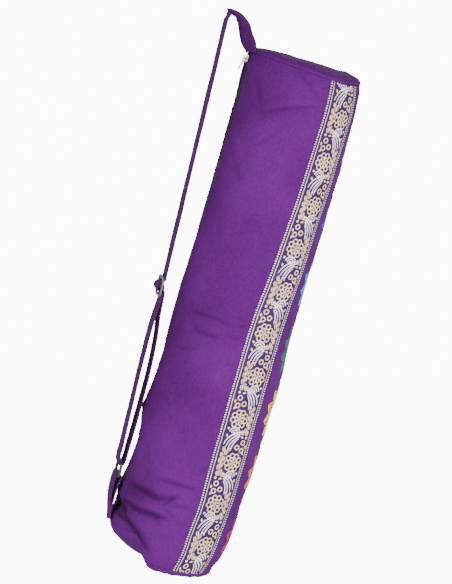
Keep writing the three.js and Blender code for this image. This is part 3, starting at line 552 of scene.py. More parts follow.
def long_side_rows(line):
    """The strap from its crest down: behind the adjuster's top bar, over its middle bar, behind its
    bottom bar, round the ring's wire, and up again to the middle bar."""
    bar_half = ADJUSTER_THICK / 2
    behind = bar_half + GAP + STRAP_THICK / 2
    over = behind + line.layer
    slot_tall = (ADJUSTER_HEIGHT - 3 * ADJUSTER_BAR) / 2
    mid = ADJUSTER_BAR / 2
    a = line.adjuster_run
    n = ADJUSTER_STAND_OFF
    slot_mid = mid + slot_tall * 0.62
    bar_far = mid + slot_tall + ADJUSTER_BAR
    places = []
    free = 9
    for i in range(free + 1):
        share = i / free
        places.append((mix(line.bend * 2, a - bar_far - 14, share), (n - behind) * share))
    places += [
        (a - bar_far, n - behind),
        (a - bar_far + ADJUSTER_BAR, n - behind),
        (a - slot_mid - 1.5, n - behind * 0.72),
        (a - slot_mid + 0.5, n + over * 0.1),
        (a - mid - 2.6, n + over * 0.72),
        (a - mid, n + over),
        (a + mid, n + over),
        (a + mid + 2.6, n + over * 0.72),
        (a + slot_mid - 0.5, n + over * 0.1),
        (a + slot_mid + 1.5, n - behind * 0.72),
        (a + bar_far - ADJUSTER_BAR, n - behind),
        (a + bar_far, n - behind),
    ]
    start = a + bar_far
    end = line.ring_run - line.rail_reach
    for along, outer, _ in DOUBLED_RUN:
        places.append((mix(start, end, along), RING_STAND_OFF + outer * line.rail_turn))
    turns = 8
    for i in range(turns + 1):
        t = math.pi * i / turns
        places.append((end + line.rail_turn * math.sin(t), RING_STAND_OFF + line.rail_turn * math.cos(t)))
    for along, _, inner in reversed(DOUBLED_RUN):
        places.append((mix(start, end, along), RING_STAND_OFF - inner * line.rail_turn))
    places += [
        (start, n - behind - line.layer),
        (a + bar_far - ADJUSTER_BAR, n - behind - line.layer),
        (a + slot_mid - 1, n - behind - line.layer * 0.55),
        (a + mid, n - behind),
        (a, n - behind),
    ]
    wrap = 6
    for i in range(wrap + 1):
        t = math.pi * i / wrap
        places.append((a - mid * 0.45 - (mid + STRAP_THICK * 0.5) * math.sin(t), n - behind * math.cos(t)))
    places.append((a + mid * 0.8, n + behind))
    return [(line.on_run(down, off), line.side, STRAP_WIDTH, 0.0) for down, off in places]


def tab_rows(line):
    """The tab: one strip folded over the ring's lower wire, both ends in the bottom seam."""
    wire = line.ring_run + line.rail_reach
    around = line.along_seam(1.0)
    out = lean(cloth_normal(1.0, ZIP_ANGLE))
    rows = []

    def add(at, share):
        across = unit(mix(around, line.side, float(ease(share, 0, 0.8))))
        rows.append((at, across, STRAP_WIDTH, -line.seat * (1 - float(ease(share, 0, 0.7)))))

    legs = 6

    def leg(i, layers, off):
        share = i / legs
        low = line.tab_end + out * layers * line.layer + line.up * GAP
        bow = 5 * SEAM_PINCH * share * (1 - share)
        add(mix(low, line.on_run(wire, off), share) + out * bow, share)

    for i in range(legs):
        leg(i, 1, RING_STAND_OFF + line.rail_turn)
    turns = 8
    for i in range(turns + 1):
        t = math.pi * i / turns
        down = wire - line.rail_turn * math.sin(t)
        add(line.on_run(down, RING_STAND_OFF + line.rail_turn * math.cos(t)), 1)
    for i in range(legs - 1, -1, -1):
        leg(i, 0, RING_STAND_OFF - line.rail_turn)
    return rows


def grid_quads(rows, cols, start=0, closed=False):
    """Four-cornered faces between neighbouring points of a grid, row by row."""
    across = cols if closed else cols - 1
    i, j = np.meshgrid(np.arange(rows - 1), np.arange(across), indexing="ij")
    k = (j + 1) % cols
    near = start + i * cols
    far = near + cols
    return np.stack([near + j, near + k, far + k, far + j], -1).reshape(-1, 4)


def tube_quads(count, sides):
    """Four-cornered faces of a closed tube: rings of points, joined round both ways."""
    i, j = np.meshgrid(np.arange(count), np.arange(sides), indexing="ij")
    near = i * sides
    far = (i + 1) % count * sides
    k = (j + 1) % sides
    return np.stack([near + j, near + k, far + k, far + j], -1).reshape(-1, 4)


def signed_volume(verts, faces):
    """The sum over fans of triangles of a . (b x c), which is above 0 where faces point outwards."""
    total = 0.0
    for size in {len(f) for f in faces}:
        f = np.array([g for g in faces if len(g) == size])
        for k in range(1, size - 1):
            a, b, c = verts[f[:, 0]], verts[f[:, k]], verts[f[:, k + 1]]
            total += np.einsum("ij,ij->", a, np.cross(b, c))
    return total


def make_piece(name, verts, faces, uv=None, values=None, smooth=True):
    """A mesh object at the origin from points in metres. Faces are turned outwards by the sign of the
    volume; uv has one pair for each point, and values are numbers kept on the points by name."""
    verts = np.asarray(verts, float).reshape(-1, 3)
    faces = [tuple(f) for f in faces]
    if signed_volume(verts - verts.mean(0), faces) < 0:
        faces = [f[::-1] for f in faces]
    mesh = bpy.data.meshes.new(name)
    mesh.from_pydata(verts.tolist(), [], faces)
    mesh.validate()
    if uv is not None:
        layer = mesh.uv_layers.new(name="cloth")
        corner = np.empty(len(mesh.loops), np.int32)
        mesh.loops.foreach_get("vertex_index", corner)
        layer.data.foreach_set("uv", np.asarray(uv, np.float32)[corner].ravel())
    for key, numbers in (values or {}).items():
        kept = mesh.attributes.new(key, "FLOAT", "POINT")
        kept.data.foreach_set("value", np.asarray(numbers, np.float32).ravel())
    mesh.polygons.foreach_set("use_smooth", np.full(len(mesh.polygons), smooth))
    mesh.update()
    made = bpy.data.objects.new(name, mesh)
    bpy.context.scene.collection.objects.link(made)
    return made


def shell_faces(rows, cols):
    """Faces of a closed sheet: a fine outer grid, an inner one of every second row and column, and
    five-cornered faces round their rims."""
    r2 = (rows - 1) // 2 + 1
    c2 = (cols - 1) // 2 + 1
    base = rows * cols
    faces = grid_quads(rows, cols).tolist()
    faces += grid_quads(r2, c2, base)[:, ::-1].tolist()
    for i in range(r2 - 1):
        o = 2 * i * cols
        n = base + i * c2
        faces.append((o, o + cols, o + 2 * cols, n + c2, n))
        o += cols - 1
        n += c2 - 1
        faces.append((o + 2 * cols, o + cols, o, n, n + c2))
    for j in range(c2 - 1):
        o = 2 * j
        n = base + j
        faces.append((o + 2, o + 1, o, n, n + 1))
        o += (rows - 1) * cols
        n += (r2 - 1) * c2
        faces.append((o, o + 1, o + 2, n + 1, n))
    return faces


def sheet_on_cloth(line, name, shares, angles, outer, inner, values=None, shade=False):
    """A closed sheet on the cloth, between two distances from it. outer may be an array of the grid's
    shape, for a face with relief. shade keeps the creases' shade on its points."""
    s, a = np.meshgrid(shares, angles, indexing="ij")
    if shade:
        # The creases' painted shade, kept on the points as the crease attribute.
        values = {"crease": crease_shade(s, a)}
    place = cloth_local(s, a)
    normal = cloth_normal(s, a)
    outside = place + normal * np.broadcast_to(outer, s.shape)[..., None]
    inside = (place + normal * inner)[::2, ::2]
    arc = np.radians(a) * BAG_RADIUS * MM
    down = mix(top_seam(a), bottom_seam(a), s) * MM
    uv = np.stack([arc, -down], -1)
    verts = np.concatenate([outside.reshape(-1, 3), inside.reshape(-1, 3)])
    uvs = np.concatenate([uv.reshape(-1, 2), uv[::2, ::2].reshape(-1, 2)])
    kept = {
        key: np.concatenate([v.ravel(), np.full(inside[..., 0].size, v.min())])
        for key, v in (values or {}).items()
    }
    return make_piece(name, to_row(line, verts), shell_faces(*s.shape), uvs, kept)


def closer_rows(count):
    """Shares of the length, closer together over the folds at both ends and in the middle."""
    even = np.linspace(0, 1, 2001)
    density = 1 + 0.5 * ease(even, 0.8, 0.86) + 0.35 * (1 - ease(even, 0.1, 0.16))
    density = density + 0.2 * np.exp(-((even - 0.52) / 0.05) ** 2)
    run = np.concatenate([[0], np.cumsum((density[1:] + density[:-1]) / 2)])
    return np.interp(np.linspace(0, run[-1], count), run, even)


def end_cap(line, name, seam_share, way_out, bulge):
    """A disc of cloth that puffs out past its seam: each ring is the seam's outline shrunk to reach
    times its size, raised by the bulge times (1 - reach^3.5)^0.45, with gathers that run in from the
    seam and a few soft crumples in the middle. The wall's inner side is the same form, smaller."""
    cols = 200
    rings = 36
    angles = ZIP_ANGLE + np.arange(cols) * 360 / cols
    reach = 1 - (np.arange(rings) / rings) ** 1.9
    middle = cloth_local(seam_share, angles).mean(0)
    size = np.stack([reach, reach, reach**2], -1)[:, None]
    phase = np.radians(angles) * BAG_RADIUS
    gather = np.sin(2 * np.pi * phase / 17 + 1.9 * np.sin(phase / 29))
    gather = gather + 0.6 * np.sin(2 * np.pi * phase / 31 + 1)
    inward = 1 - reach
    strength = 0.4 * (inward / 0.06) * np.exp(1 - inward / 0.06)
    pucker_share = bpy.context.scene.bag_cloth.pucker
    skins = []
    for wall in (0.0, CLOTH_WALL):
        rim = off_cloth(seam_share, angles, -wall)
        p = middle + (rim[None] - middle) * size
        rise = (bulge - wall) * (1 - reach**3.5) ** 0.45
        x = p[..., 0]
        y = p[..., 1]
        crumple = 2.1 * np.sin(x / 19 + 1.2 * np.sin(y / 23)) + 1.6 * np.sin(y / 15 - x / 27 + 2)
        crumple = crumple * np.minimum(1, inward / 0.25)[:, None]
        lift = rise[:, None] + pucker_share * (strength[:, None] * gather - np.abs(crumple))
        p[..., 2] += way_out * (GAP + np.maximum(lift, 0))
        centre = middle + np.array([0, 0, way_out * (GAP + bulge - wall - 1.2)])
        skins.append(np.vstack([p.reshape(-1, 3), centre]))
    count = rings * cols + 1
    faces = []
    j = np.arange(cols)
    k = (j + 1) % cols
    for start in (0, count):
        body = grid_quads(rings, cols, start, closed=True)
        last = start + (rings - 1) * cols
        fan = np.stack([last + j, last + k, np.full(cols, start + count - 1)], -1)
        if start:
            body = body[:, ::-1]
            fan = fan[:, ::-1]
        faces += body.tolist() + fan.tolist()
    faces += np.stack([k, j, count + j, count + k], -1).tolist()
    verts = np.vstack(skins)
    return make_piece(name, to_row(line, verts), faces, verts[:, :2] * MM)


def capsule_rows(middles, along, out, length, width, thick):
    """Stitches: each a low rounded bar of few faces, from a middle, the thread's direction and the
    cloth's normal. A bar is four rings of four points, full in the middle and small at its ends."""
    sides = 4
    t = np.arange(sides) * 2 * np.pi / sides
    shape = []
    for place, size in ((-0.5, 0.35), (-0.3, 0.95), (0.3, 0.95), (0.5, 0.35)):
        for c, s in zip(np.cos(t), np.sin(t)):
            shape.append((place * length, c * size * width / 2, s * size * thick / 2))
    shape = np.array(shape)
    across = np.cross(out, along)
    verts = (
        middles[:, None]
        + along[:, None] * shape[None, :, :1]
        + across[:, None] * shape[None, :, 1:2]
        + out[:, None] * shape[None, :, 2:3]
    )
    one = grid_quads(4, sides, closed=True).tolist()
    one += [tuple(range(sides))[::-1], tuple(range(3 * sides, 4 * sides))]
    faces = []
    for n in range(len(middles)):
        base = n * 4 * sides
        faces += [tuple(v + base for v in f) for f in one]
    return verts.reshape(-1, 3), faces


def stitch_line(share, angle, off, pitch, line):
    """Middles, directions and normals in the row frame of stitches at even steps of a line on the
    cloth, given by many shares and angles."""
    p = lean(off_cloth(share, angle, off)) + line.middle
    n = lean(cloth_normal(share, angle))
    return even_stitches(p, n, pitch)


def even_stitches(p, n, pitch):
    """Middles, directions and normals at even steps along a line of points."""
    run = np.concatenate([[0], np.cumsum(np.linalg.norm(np.diff(p, axis=0), axis=1))])
    at = np.arange(pitch, run[-1] - pitch / 2, pitch)

    def pick(values, ahead=0.0):
        return np.stack([np.interp(at + ahead, run, values[:, k]) for k in range(3)], -1)

    middles = pick(p)
    along = unit(pick(p, 0.6) - pick(p, -0.6))
    out = pick(n)
    out = unit(out - along * np.einsum("ij,ij->i", out, along)[:, None])
    return middles, along, out


def refined_rows(rows, step):
    """Strap rows at even steps of their length, on the smooth curve through the given ones."""
    at = np.array([r[0] for r in rows])
    rest = np.array([[*r[1], r[2], r[3]] for r in rows])
    p = np.vstack([2 * at[0] - at[1], at, 2 * at[-1] - at[-2]])
    chord = np.linalg.norm(np.diff(at, axis=0), axis=1)
    run = np.concatenate([[0], np.cumsum(chord)])
    count = int(run[-1] / step) + 1
    s = np.linspace(0, run[-1], count)
    i = np.clip(np.searchsorted(run, s, side="right") - 1, 0, len(chord) - 1)
    t = ((s - run[i]) / chord[i])[:, None]
    a, b, c, d = p[i], p[i + 1], p[i + 2], p[i + 3]
    ab, bc, cd = (np.linalg.norm(v, axis=1, keepdims=True) for v in (b - a, c - b, d - c))
    slope_b = ((b - a) / ab * bc + (c - b) / bc * ab) / (ab + bc) * bc
    slope_c = ((c - b) / bc * cd + (d - c) / cd * bc) / (bc + cd) * bc
    curve = (
        (2 * t**3 - 3 * t**2 + 1) * b + (t**3 - 2 * t**2 + t) * slope_b
        + (3 * t**2 - 2 * t**3) * c + (t**3 - t**2) * slope_c
    )
    others = np.stack([np.interp(s, run, rest[:, k]) for k in range(5)], -1)
    return s, curve, others


def strap_surface(rows, step, seed):
    """A flat strap carried along rows. Its section is full in the middle, sinks along both lines of
    stitches and closes in a round edge; the edges wander a little along its length."""
    s, at, rest = refined_rows(rows, step)
    forward = unit(np.gradient(at, axis=0))
    across = rest[:, :3]
    across = unit(across - forward * np.einsum("ij,ij->i", across, forward)[:, None])
    inner = unit(np.cross(across, forward))
    place = np.array([-share for share in ACROSS_STRAP[:0:-1]] + list(ACROSS_STRAP))
    edge = np.clip((np.abs(place) - 0.94) / 0.06, 0, 1)
    half = 0.97 - 0.2 * np.exp(-(((np.abs(place) - 0.85) / 0.035) ** 2)) - 0.1 * place**4
    half = STRAP_THICK / 2 * half * np.sqrt(np.maximum(0, 1 - edge**2))
    loop = np.concatenate([place, place[-2:0:-1]])
    side = np.concatenate([half, -half[-2:0:-1]])
    wander = 0.25 * np.sin(s / 19 + seed) + 0.18 * np.sin(s / 7.3 + 2 * seed)
    soft = 0.18 * np.sin(s / 27 + seed)[:, None] * loop[None]
    soft = soft + 0.12 * np.sin(s / 11)[:, None] * (loop[None] ** 2)
    wide = (rest[:, 3] / 2)[:, None] * loop[None] + wander[:, None] * np.abs(loop[None]) ** 3 * 0.6
    verts = (
        at[:, None]
        + across[:, None] * wide[..., None]
        + inner[:, None] * (side[None] + rest[:, 4:5] * loop[None] ** 2 + soft)[..., None]
    )
    count = len(loop)
    faces = grid_quads(len(s), count, closed=True).tolist()
    faces += [tuple(range(count))[::-1], tuple(range((len(s) - 1) * count, len(s) * count))]
    uv = np.stack(np.broadcast_arrays(loop * STRAP_WIDTH / 2 * MM, s[:, None] * MM), -1).reshape(-1, 2)
    lines = []
    for share in (-0.85, 0.85):
        for face in (1, -1):
            off = face * STRAP_THICK * 0.42 + rest[:, 4:5] * share**2
            lines.append((at + across * (rest[:, 3:4] / 2 * share) + inner * off, inner * face))
    return verts.reshape(-1, 3), faces, uv, lines


# The brocade's pattern, in millimetres across (u) and down (v) the ribbon. Distances are above 0 inside
# a woven figure, so that the material can draw a clean edge between the points of the mesh.

HALF_REPEAT = 61.5
RIBBON_MIDDLE = 28.5
PATTERN_START = 34.0
FAR_BEADS = 56.0
BEAD_PITCH = 3.4


def disc(u, v, cu, cv, r):
    return r - np.hypot(u - cu, v - cv)


def leaf(u, v, cu, cv, length, width, turn):
    """A pointed leaf: the part that two equal circles share, turned about its middle. Gives the
    distance inside it, and the distance from its long axis."""
    t = math.radians(turn)
    x = (u - cu) * math.cos(t) + (v - cv) * math.sin(t)
    y = -(u - cu) * math.sin(t) + (v - cv) * math.cos(t)
    half = length / 2
    bulge = width / 2
    r = (half**2 + bulge**2) / (2 * bulge)
    return r - np.hypot(x, np.abs(y) + r - bulge), np.abs(y)


def stripe(u, v, start, via, end, width):
    """A band that tapers from its start, along a bent line through three places."""
    t = np.linspace(0, 1, 7)[:, None]
    line = (1 - t) ** 2 * np.array(start) + 2 * t * (1 - t) * np.array(via) + t**2 * np.array(end)
    away, _, share = from_line(u, v, line)
    return width / 2 * (0.3 + 0.75 * np.sin(np.pi * np.clip(share * 0.8 + 0.12, 0, 1))) - away


def flower(u, v, cu, cv, turn):
    """Nine round petals that are open in the middle, round six pointed ones and a small middle."""
    best = disc(u, v, cu, cv, 1.7)
    for i in range(9):
        t = math.radians(turn + i * 360 / 9)
        petal = disc(u, v, cu + 10.2 * math.cos(t), cv + 10.2 * math.sin(t), 4.0)
        best = np.maximum(np.minimum(best, -petal - 0.3), np.minimum(petal, 1.5 - petal))
    for i in range(6):
        t = turn + 20 + i * 60
        x = cu + 4.5 * math.cos(math.radians(t))
        y = cv + 4.5 * math.sin(math.radians(t))
        best = np.maximum(best, leaf(u, v, x, y, 4.8, 2.6, t)[0])
    return best


def half_figure(u, v):
    """One flower with its leaves, buds and berries in gold thread, and its fan, arcs and dots in pale
    thread: the distances inside the figures of each."""
    gold = flower(u, v, 24.0, 22.0, 8)
    pale = np.full(u.shape, -9.0)
    for i, (cu, cv, turn) in enumerate((
        (43.0, 5.5, 112), (38.6, 9.5, 60), (44.4, 13.5, 104), (40.2, 18.5, 70), (44.8, 22.0, 98),
        (41.0, 27.5, 74), (44.4, 31.0, 92), (40.2, 36.5, 66), (43.6, 40.0, 108), (36.0, 40.0, 52),
    )):
        body, off = leaf(u, v, cu, cv, 9.6, 4.6, turn)
        gold = np.maximum(gold, np.minimum(body, off - 0.5))
    for cu, cv in ((41.0, 54.0), (33.0, 61.5), (42.0, 65.0)):
        berry = disc(u, v, cu, cv, 3.9)
        gold = np.maximum(gold, np.minimum(berry, 1.6 - berry))
    pale = np.maximum(pale, disc(u, v, 44.4, 46.5, 1.7))
    pale = np.maximum(pale, disc(u, v, 11.6, 36.5, 1.5))
    for cu, cv, turn in (
        (11.5, 7.5, 118), (36.5, 4.0, 40), (12.2, 47.0, 70), (47.0, 59.5, 100), (37.0, 46.5, 20),
    ):
        gold = np.maximum(gold, leaf(u, v, cu, cv, 5.2, 2.6, turn)[0])
    ring = np.hypot(u - 22.5, v - 42.5)
    upper = (u - 22.5) * 0.5 - (v - 42.5) + 2.5
    for r in (1.8, 5.0, 8.4):
        pale = np.maximum(pale, np.minimum(0.75 - np.abs(ring - r), upper))
    for i in range(4):
        start = (36.0 - 1.6 * i, 38.5 + 3.6 * i)
        via = (13.0 + 3.6 * i, 43.0 + 4.2 * i)
        end = (11.0 + 4.2 * i, 60.0 + 2.8 * i)
        pale = np.maximum(pale, stripe(u, v, start, via, end, 1.7))
    return gold, pale


def brocade(u, v):
    """The whole pattern: the half figure repeated down the ribbon, each second one mirrored across it,
    between two thin lines and two rows of beads. Gives the distance inside the figures, and
    how golden the thread is there."""
    best = np.full(u.shape, -9.0)
    golden = np.zeros(u.shape)
    repeat = 2 * HALF_REPEAT
    for mirrored in (False, True):
        across = 2 * RIBBON_MIDDLE - u if mirrored else u
        for shift in (0, 1):
            down = (v - (HALF_REPEAT if mirrored else 0)) % repeat - shift * repeat
            near = (down > -6) & (down < 72)
            if not near.any():
                continue
            gold, pale = half_figure(across[near], down[near])
            held = best[near]
            kind = golden[near]
            kind = np.where(np.maximum(gold, pale) > held, np.where(gold > pale, 1.0, 0.12), kind)
            best[near] = np.maximum(held, np.maximum(gold, pale))
            golden[near] = kind
    for edge in (0, 1):
        across = FAR_BEADS - u if edge else u
        bead_v = (v + 0.8 * edge) % BEAD_PITCH - BEAD_PITCH / 2
        bead = 1.0 - np.hypot((across - 1.7) / 1.35, bead_v / 0.92)
        rim = np.maximum(bead, 0.42 - np.abs(across - 6.0))
        golden = np.where(rim > best, 0.45, golden)
        best = np.maximum(best, rim)
    return np.clip(best, -1.4, 1.4), golden


def rosette_lines(radius):
    """Outlines of a rosette in millimetres about its middle: two rings, twelve pointed petals, eight
    inner ones and a small eight-lobed middle. Each is a closed line."""
    t = np.linspace(0, 2 * np.pi, 73)[:-1]
    lines = [np.stack([0.5 * radius * np.cos(t), 0.5 * radius * np.sin(t)], -1)]
    lines.append(np.stack([0.2 * radius * np.cos(t), 0.2 * radius * np.sin(t)], -1))
    lobed = radius * (0.33 + 0.06 * np.cos(8 * t))
    lines.append(np.stack([lobed * np.cos(t), lobed * np.sin(t)], -1))
    s = np.linspace(0, 1, 15)
    for count, low, high, fat in ((12, 0.52, 1.0, 0.19), (12, 0.56, 0.86, 0.09)):
        for i in range(count):
            turn = 2 * np.pi * (i + 0.5) / count
            out = mix(low, high, s) * radius
            wide = fat * radius * np.sin(np.pi * s**0.8) ** 0.8 * (1 - 0.25 * s)
            x = np.concatenate([out, out[-2:0:-1]])
            y = np.concatenate([wide, -wide[-2:0:-1]])
            c = math.cos(turn)
            d = math.sin(turn)
            lines.append(np.stack([x * c - y * d, x * d + y * c], -1))
    return lines


def satin_band(points, normals, width, height):
    """A closed raised band along a closed line: at each point a low arch of five points across it."""
    along = unit(np.roll(points, -1, axis=0) - np.roll(points, 1, axis=0))
    across = unit(np.cross(normals, along))
    t = np.linspace(0, np.pi, 5)
    low = np.array([np.cos(t) * width / 2, np.sin(t) * height - 0.25]).T
    low = np.vstack([low, [[0, -0.5]]])
    verts = points[:, None] + across[:, None] * low[None, :, :1] + normals[:, None] * low[None, :, 1:]
    return verts.reshape(-1, 3), tube_quads(len(points), len(low))


def linear(r, g, b):
    """A colour given as 0 to 255 on the screen, as the light it stands for."""
    v = np.array([r, g, b]) / 255
    return (*np.where(v <= 0.04045, v / 12.92, ((v + 0.055) / 1.055) ** 2.4).tolist(), 1.0)


def toned(colour, share, lift=0.0):
    """A colour made darker or lighter by a share and a lift, held at 1."""
    return (*(min(1.0, c * share + lift) for c in colour[:3]), 1.0)


class Look:
    """A material's node tree, with short ways to add nodes to it."""

    def __init__(self, name):
        self.material = bpy.data.materials.new(name)
        self.material.use_nodes = True
        self.tree = self.material.node_tree
        self.shader = self.tree.nodes["Principled BSDF"]

    def node(self, kind, **settings):
        made = self.tree.nodes.new(kind)
        for key, value in settings.items():
            setattr(made, key, value)
        return made

    def join(self, source, target):
        self.tree.links.new(source, target)

    def put(self, socket, value):
        """A number, a colour or another node's output on a socket."""
        if isinstance(value, bpy.types.NodeSocket):
            self.join(value, socket)
        else:
            socket.default_value = value

    def math(self, what, a, b=0.0, c=0.0):
        made = self.node("ShaderNodeMath", operation=what)
        for socket, value in zip(made.inputs, (a, b, c)):
            self.put(socket, value)
        return made.outputs[0]

    def ramp(self, value, low, high, to_low=0.0, to_high=1.0):
        made = self.node("ShaderNodeMapRange", interpolation_type="SMOOTHSTEP")
        for socket, number in zip(made.inputs, (value, low, high, to_low, to_high)):
            self.put(socket, number)
        return made.outputs[0]

    def blend(self, share, a, b):
        made = self.node("ShaderNodeMix", data_type="RGBA")
        self.put(made.inputs[0], share)
        self.put(made.inputs[6], a)
        self.put(made.inputs[7], b)
        return made.outputs[2]

    def noise(self, where, scale, detail=2.0, roughness=0.5):
        made = self.node("ShaderNodeTexNoise")
        self.join(where, made.inputs["Vector"])
        made.inputs["Scale"].default_value = scale
        made.inputs["Detail"].default_value = detail
        made.inputs["Roughness"].default_value = roughness
        return made.outputs["Fac"]

    def bump(self, height, distance, strength=1.0, under=None):
        made = self.node("ShaderNodeBump")
        made.inputs["Strength"].default_value = strength
        made.inputs["Distance"].default_value = distance
        self.join(height, made.inputs["Height"])
        if under is not None:
            self.join(under, made.inputs["Normal"])
        return made.outputs[0]

    def weave(self, where, pitch, wander):
        """Plain weave: the larger of two rows of threads, sin(x) cos(y) and its like, at a pitch."""
        parts = self.node("ShaderNodeSeparateXYZ")
        self.join(where, parts.inputs[0])
        turn = math.pi / pitch
        shift = self.math("MULTIPLY", self.noise(where, 130.0, 1.0), wander)
        x = self.math("ADD", self.math("MULTIPLY", parts.outputs[0], turn), shift)
        y = self.math("ADD", self.math("MULTIPLY", parts.outputs[1], turn), shift)
        return self.math("MULTIPLY", self.math("SINE", x), self.math("SINE", y))

    def surface(self, **values):
        for key, value in values.items():
            self.put(self.shader.inputs[key.replace("_", " ")], value)
        return self.material


def cloth_material(name, colour, pitch):
    """Plain-woven cotton: a soft, dull face, with thick and thin threads, slightly uneven dye and painted
    shade in its creases.
    """
    look = Look(name)
    where = look.node("ShaderNodeUVMap", uv_map="cloth").outputs[0]
    place = look.node("ShaderNodeTexCoord").outputs["Object"]
    weave = look.weave(where, pitch, 2.2)
    slub = look.noise(where, 900.0, 2.0, 0.6)
    dye = look.noise(place, 9.0, 3.0, 0.55)
    fine = look.noise(place, 420.0, 2.0, 0.6)
    # How much painted shade the creases put on each place of the cloth.
    crease = look.node("ShaderNodeAttribute", attribute_name="crease").outputs["Fac"]
    tone = look.math("ADD", look.math("MULTIPLY", weave, 0.18), look.ramp(dye, 0.3, 0.7, 0.22, 0.72))
    tone = look.math("ADD", tone, look.ramp(slub, 0.3, 0.7, -0.2, 0.2))
    tone = look.math("ADD", tone, look.ramp(fine, 0.3, 0.7, -0.2, 0.2))
    dyed = look.blend(tone, toned(colour, 0.66), toned(colour, 1.2, 0.004))
    # Painted shade: the dyed colour darkened towards 0.3 of the cloth colour in the creases.
    base = look.blend(look.math("MULTIPLY", crease, 0.75), dyed, toned(colour, 0.3))
    crumple = look.bump(fine, 0.00018, 0.5)
    normal = look.bump(look.math("ADD", weave, slub), pitch * 0.22, 0.55, crumple)
    return look.surface(
        Base_Color=base, Roughness=0.88, Normal=normal, Specular_IOR_Level=0.08,
        Sheen_Weight=0.02, Sheen_Roughness=0.4, Sheen_Tint=(0.6, 0.4, 0.9, 1.0),
    )


def brocade_material(name, base_colour, gold_colour, pale_colour):
    """Woven ribbon: figures of raised, shiny floats over a close violet ground."""
    look = Look(name)
    where = look.node("ShaderNodeUVMap", uv_map="cloth").outputs[0]
    place = look.node("ShaderNodeTexCoord").outputs["Object"]
    inside = look.node("ShaderNodeAttribute", attribute_name="thread").outputs["Fac"]
    golden = look.node("ShaderNodeAttribute", attribute_name="golden").outputs["Fac"]
    parts = look.node("ShaderNodeSeparateXYZ")
    look.join(where, parts.inputs[0])
    jag = look.noise(where, 1500.0, 1.0)
    inside = look.math("ADD", inside, look.math("MULTIPLY", look.math("SUBTRACT", jag, 0.5), 0.5))
    figure = look.ramp(inside, -0.14, 0.14)
    floats = look.math("SINE", look.math("MULTIPLY", parts.outputs[1], 2 * math.pi / 0.00052))
    slanted = look.math("ADD", parts.outputs[0], parts.outputs[1])
    twill = look.math("SINE", look.math("MULTIPLY", slanted, 2 * math.pi / 0.0006))
    # Painted sheen: the gold thread lighter and darker in broad soft patches, for the uneven shine of its
    # floats.
    sheen_patches = look.noise(place, 26.0, 3.0, 0.6)
    patch = look.noise(place, 420.0, 1.0)
    gold = look.blend(look.ramp(sheen_patches, 0.35, 0.68), toned(gold_colour, 0.8), gold_colour)
    thread = look.blend(golden, pale_colour, gold)
    thread = look.blend(look.ramp(patch, 0.55, 0.75, 0.0, 0.25), thread, toned(gold_colour, 0.5))
    thread = look.blend(look.ramp(floats, -1.0, 1.0, 0.12, 0.0), thread, base_colour)
    ground = look.blend(look.ramp(twill, -1.0, 1.0, 0.0, 0.35), base_colour, toned(base_colour, 0.55))
    colour = look.blend(figure, ground, thread)
    rough = look.ramp(figure, 0.0, 1.0, 0.62, 0.4)
    raised = look.bump(look.ramp(inside, -0.35, 0.45), 0.00028, 0.8)
    fine = look.math("ADD", look.math("MULTIPLY", floats, figure), look.math("MULTIPLY", twill, 0.5))
    normal = look.bump(fine, 0.00009, 0.6, raised)
    return look.surface(
        Base_Color=colour, Roughness=rough, Normal=normal, Specular_IOR_Level=0.25,
    )


def thread_material(name, colour, pitch=0.00035):
    """Satin stitches: fine bright ridges across the band."""
    look = Look(name)
    place = look.node("ShaderNodeTexCoord").outputs["Object"]
    ridges = look.noise(place, 1.0 / pitch * 0.6, 1.0)
    tone = look.ramp(look.noise(place, 60.0, 2.0), 0.3, 0.7, 0.0, 0.35)
    tone = look.math("ADD", tone, look.ramp(ridges, 0.4, 0.6, 0.0, 0.3))
    base = look.blend(tone, toned(colour, 1.0), toned(colour, 0.6))
    return look.surface(
        Base_Color=base, Roughness=0.42, Normal=look.bump(ridges, 0.0002, 0.6), Specular_IOR_Level=0.3,
    )


def plastic_material(name, colour, rough, wear):
    """Moulded plastic: a faint grain, fine scuffs and slightly paler rubbed places."""
    look = Look(name)
    place = look.node("ShaderNodeTexCoord").outputs["Object"]
    grain = look.noise(place, 1400.0, 2.0)
    scuff = look.noise(place, 170.0, 4.0, 0.7)
    base = look.blend(look.ramp(scuff, 0.55, 0.8, 0.0, wear), colour, toned(colour, 1.6, 0.02))
    roughness = look.ramp(scuff, 0.3, 0.75, rough - 0.08, rough + 0.14)
    return look.surface(Base_Color=base, Roughness=roughness, Normal=look.bump(grain, 0.00005, 0.35))


def metal_material(name, colour):
    """Plated metal: fine handling marks and uneven gloss."""
    look = Look(name)
    place = look.node("ShaderNodeTexCoord").outputs["Object"]
    marks = look.noise(place, 900.0, 3.0, 0.65)
    dull = look.noise(place, 160.0, 2.0)
    base = look.blend(look.ramp(dull, 0.35, 0.75), colour, toned(colour, 0.72))
    roughness = look.ramp(marks, 0.3, 0.7, 0.22, 0.42)
    return look.surface(
        Base_Color=base, Roughness=roughness, Metallic=1.0, Normal=look.bump(marks, 0.00004, 0.4)
    )


def tape_material(name, colour):
    """Black knitted zip tape: narrow ribs along it."""
    look = Look(name)
    where = look.node("ShaderNodeUVMap", uv_map="cloth").outputs[0]
    weave = look.weave(where, 0.0005, 0.6)
    base = look.blend(look.ramp(weave, -1.0, 1.0, 0.0, 0.6), colour, toned(colour, 1.8, 0.004))
    return look.surface(
        Base_Color=base, Roughness=0.8, Normal=look.bump(weave, 0.0001, 0.6), Specular_IOR_Level=0.3
    )


def coil_material(name, colour):
    """Nylon coil: smooth, dark and slightly shiny."""
    look = Look(name)
    place = look.node("ShaderNodeTexCoord").outputs["Object"]
    marks = look.noise(place, 700.0, 2.0)
    base = look.blend(look.ramp(marks, 0.4, 0.8, 0.0, 0.5), colour, toned(colour, 2.2, 0.01))
    return look.surface(Base_Color=base, Roughness=0.38, Normal=look.bump(marks, 0.00003, 0.3))


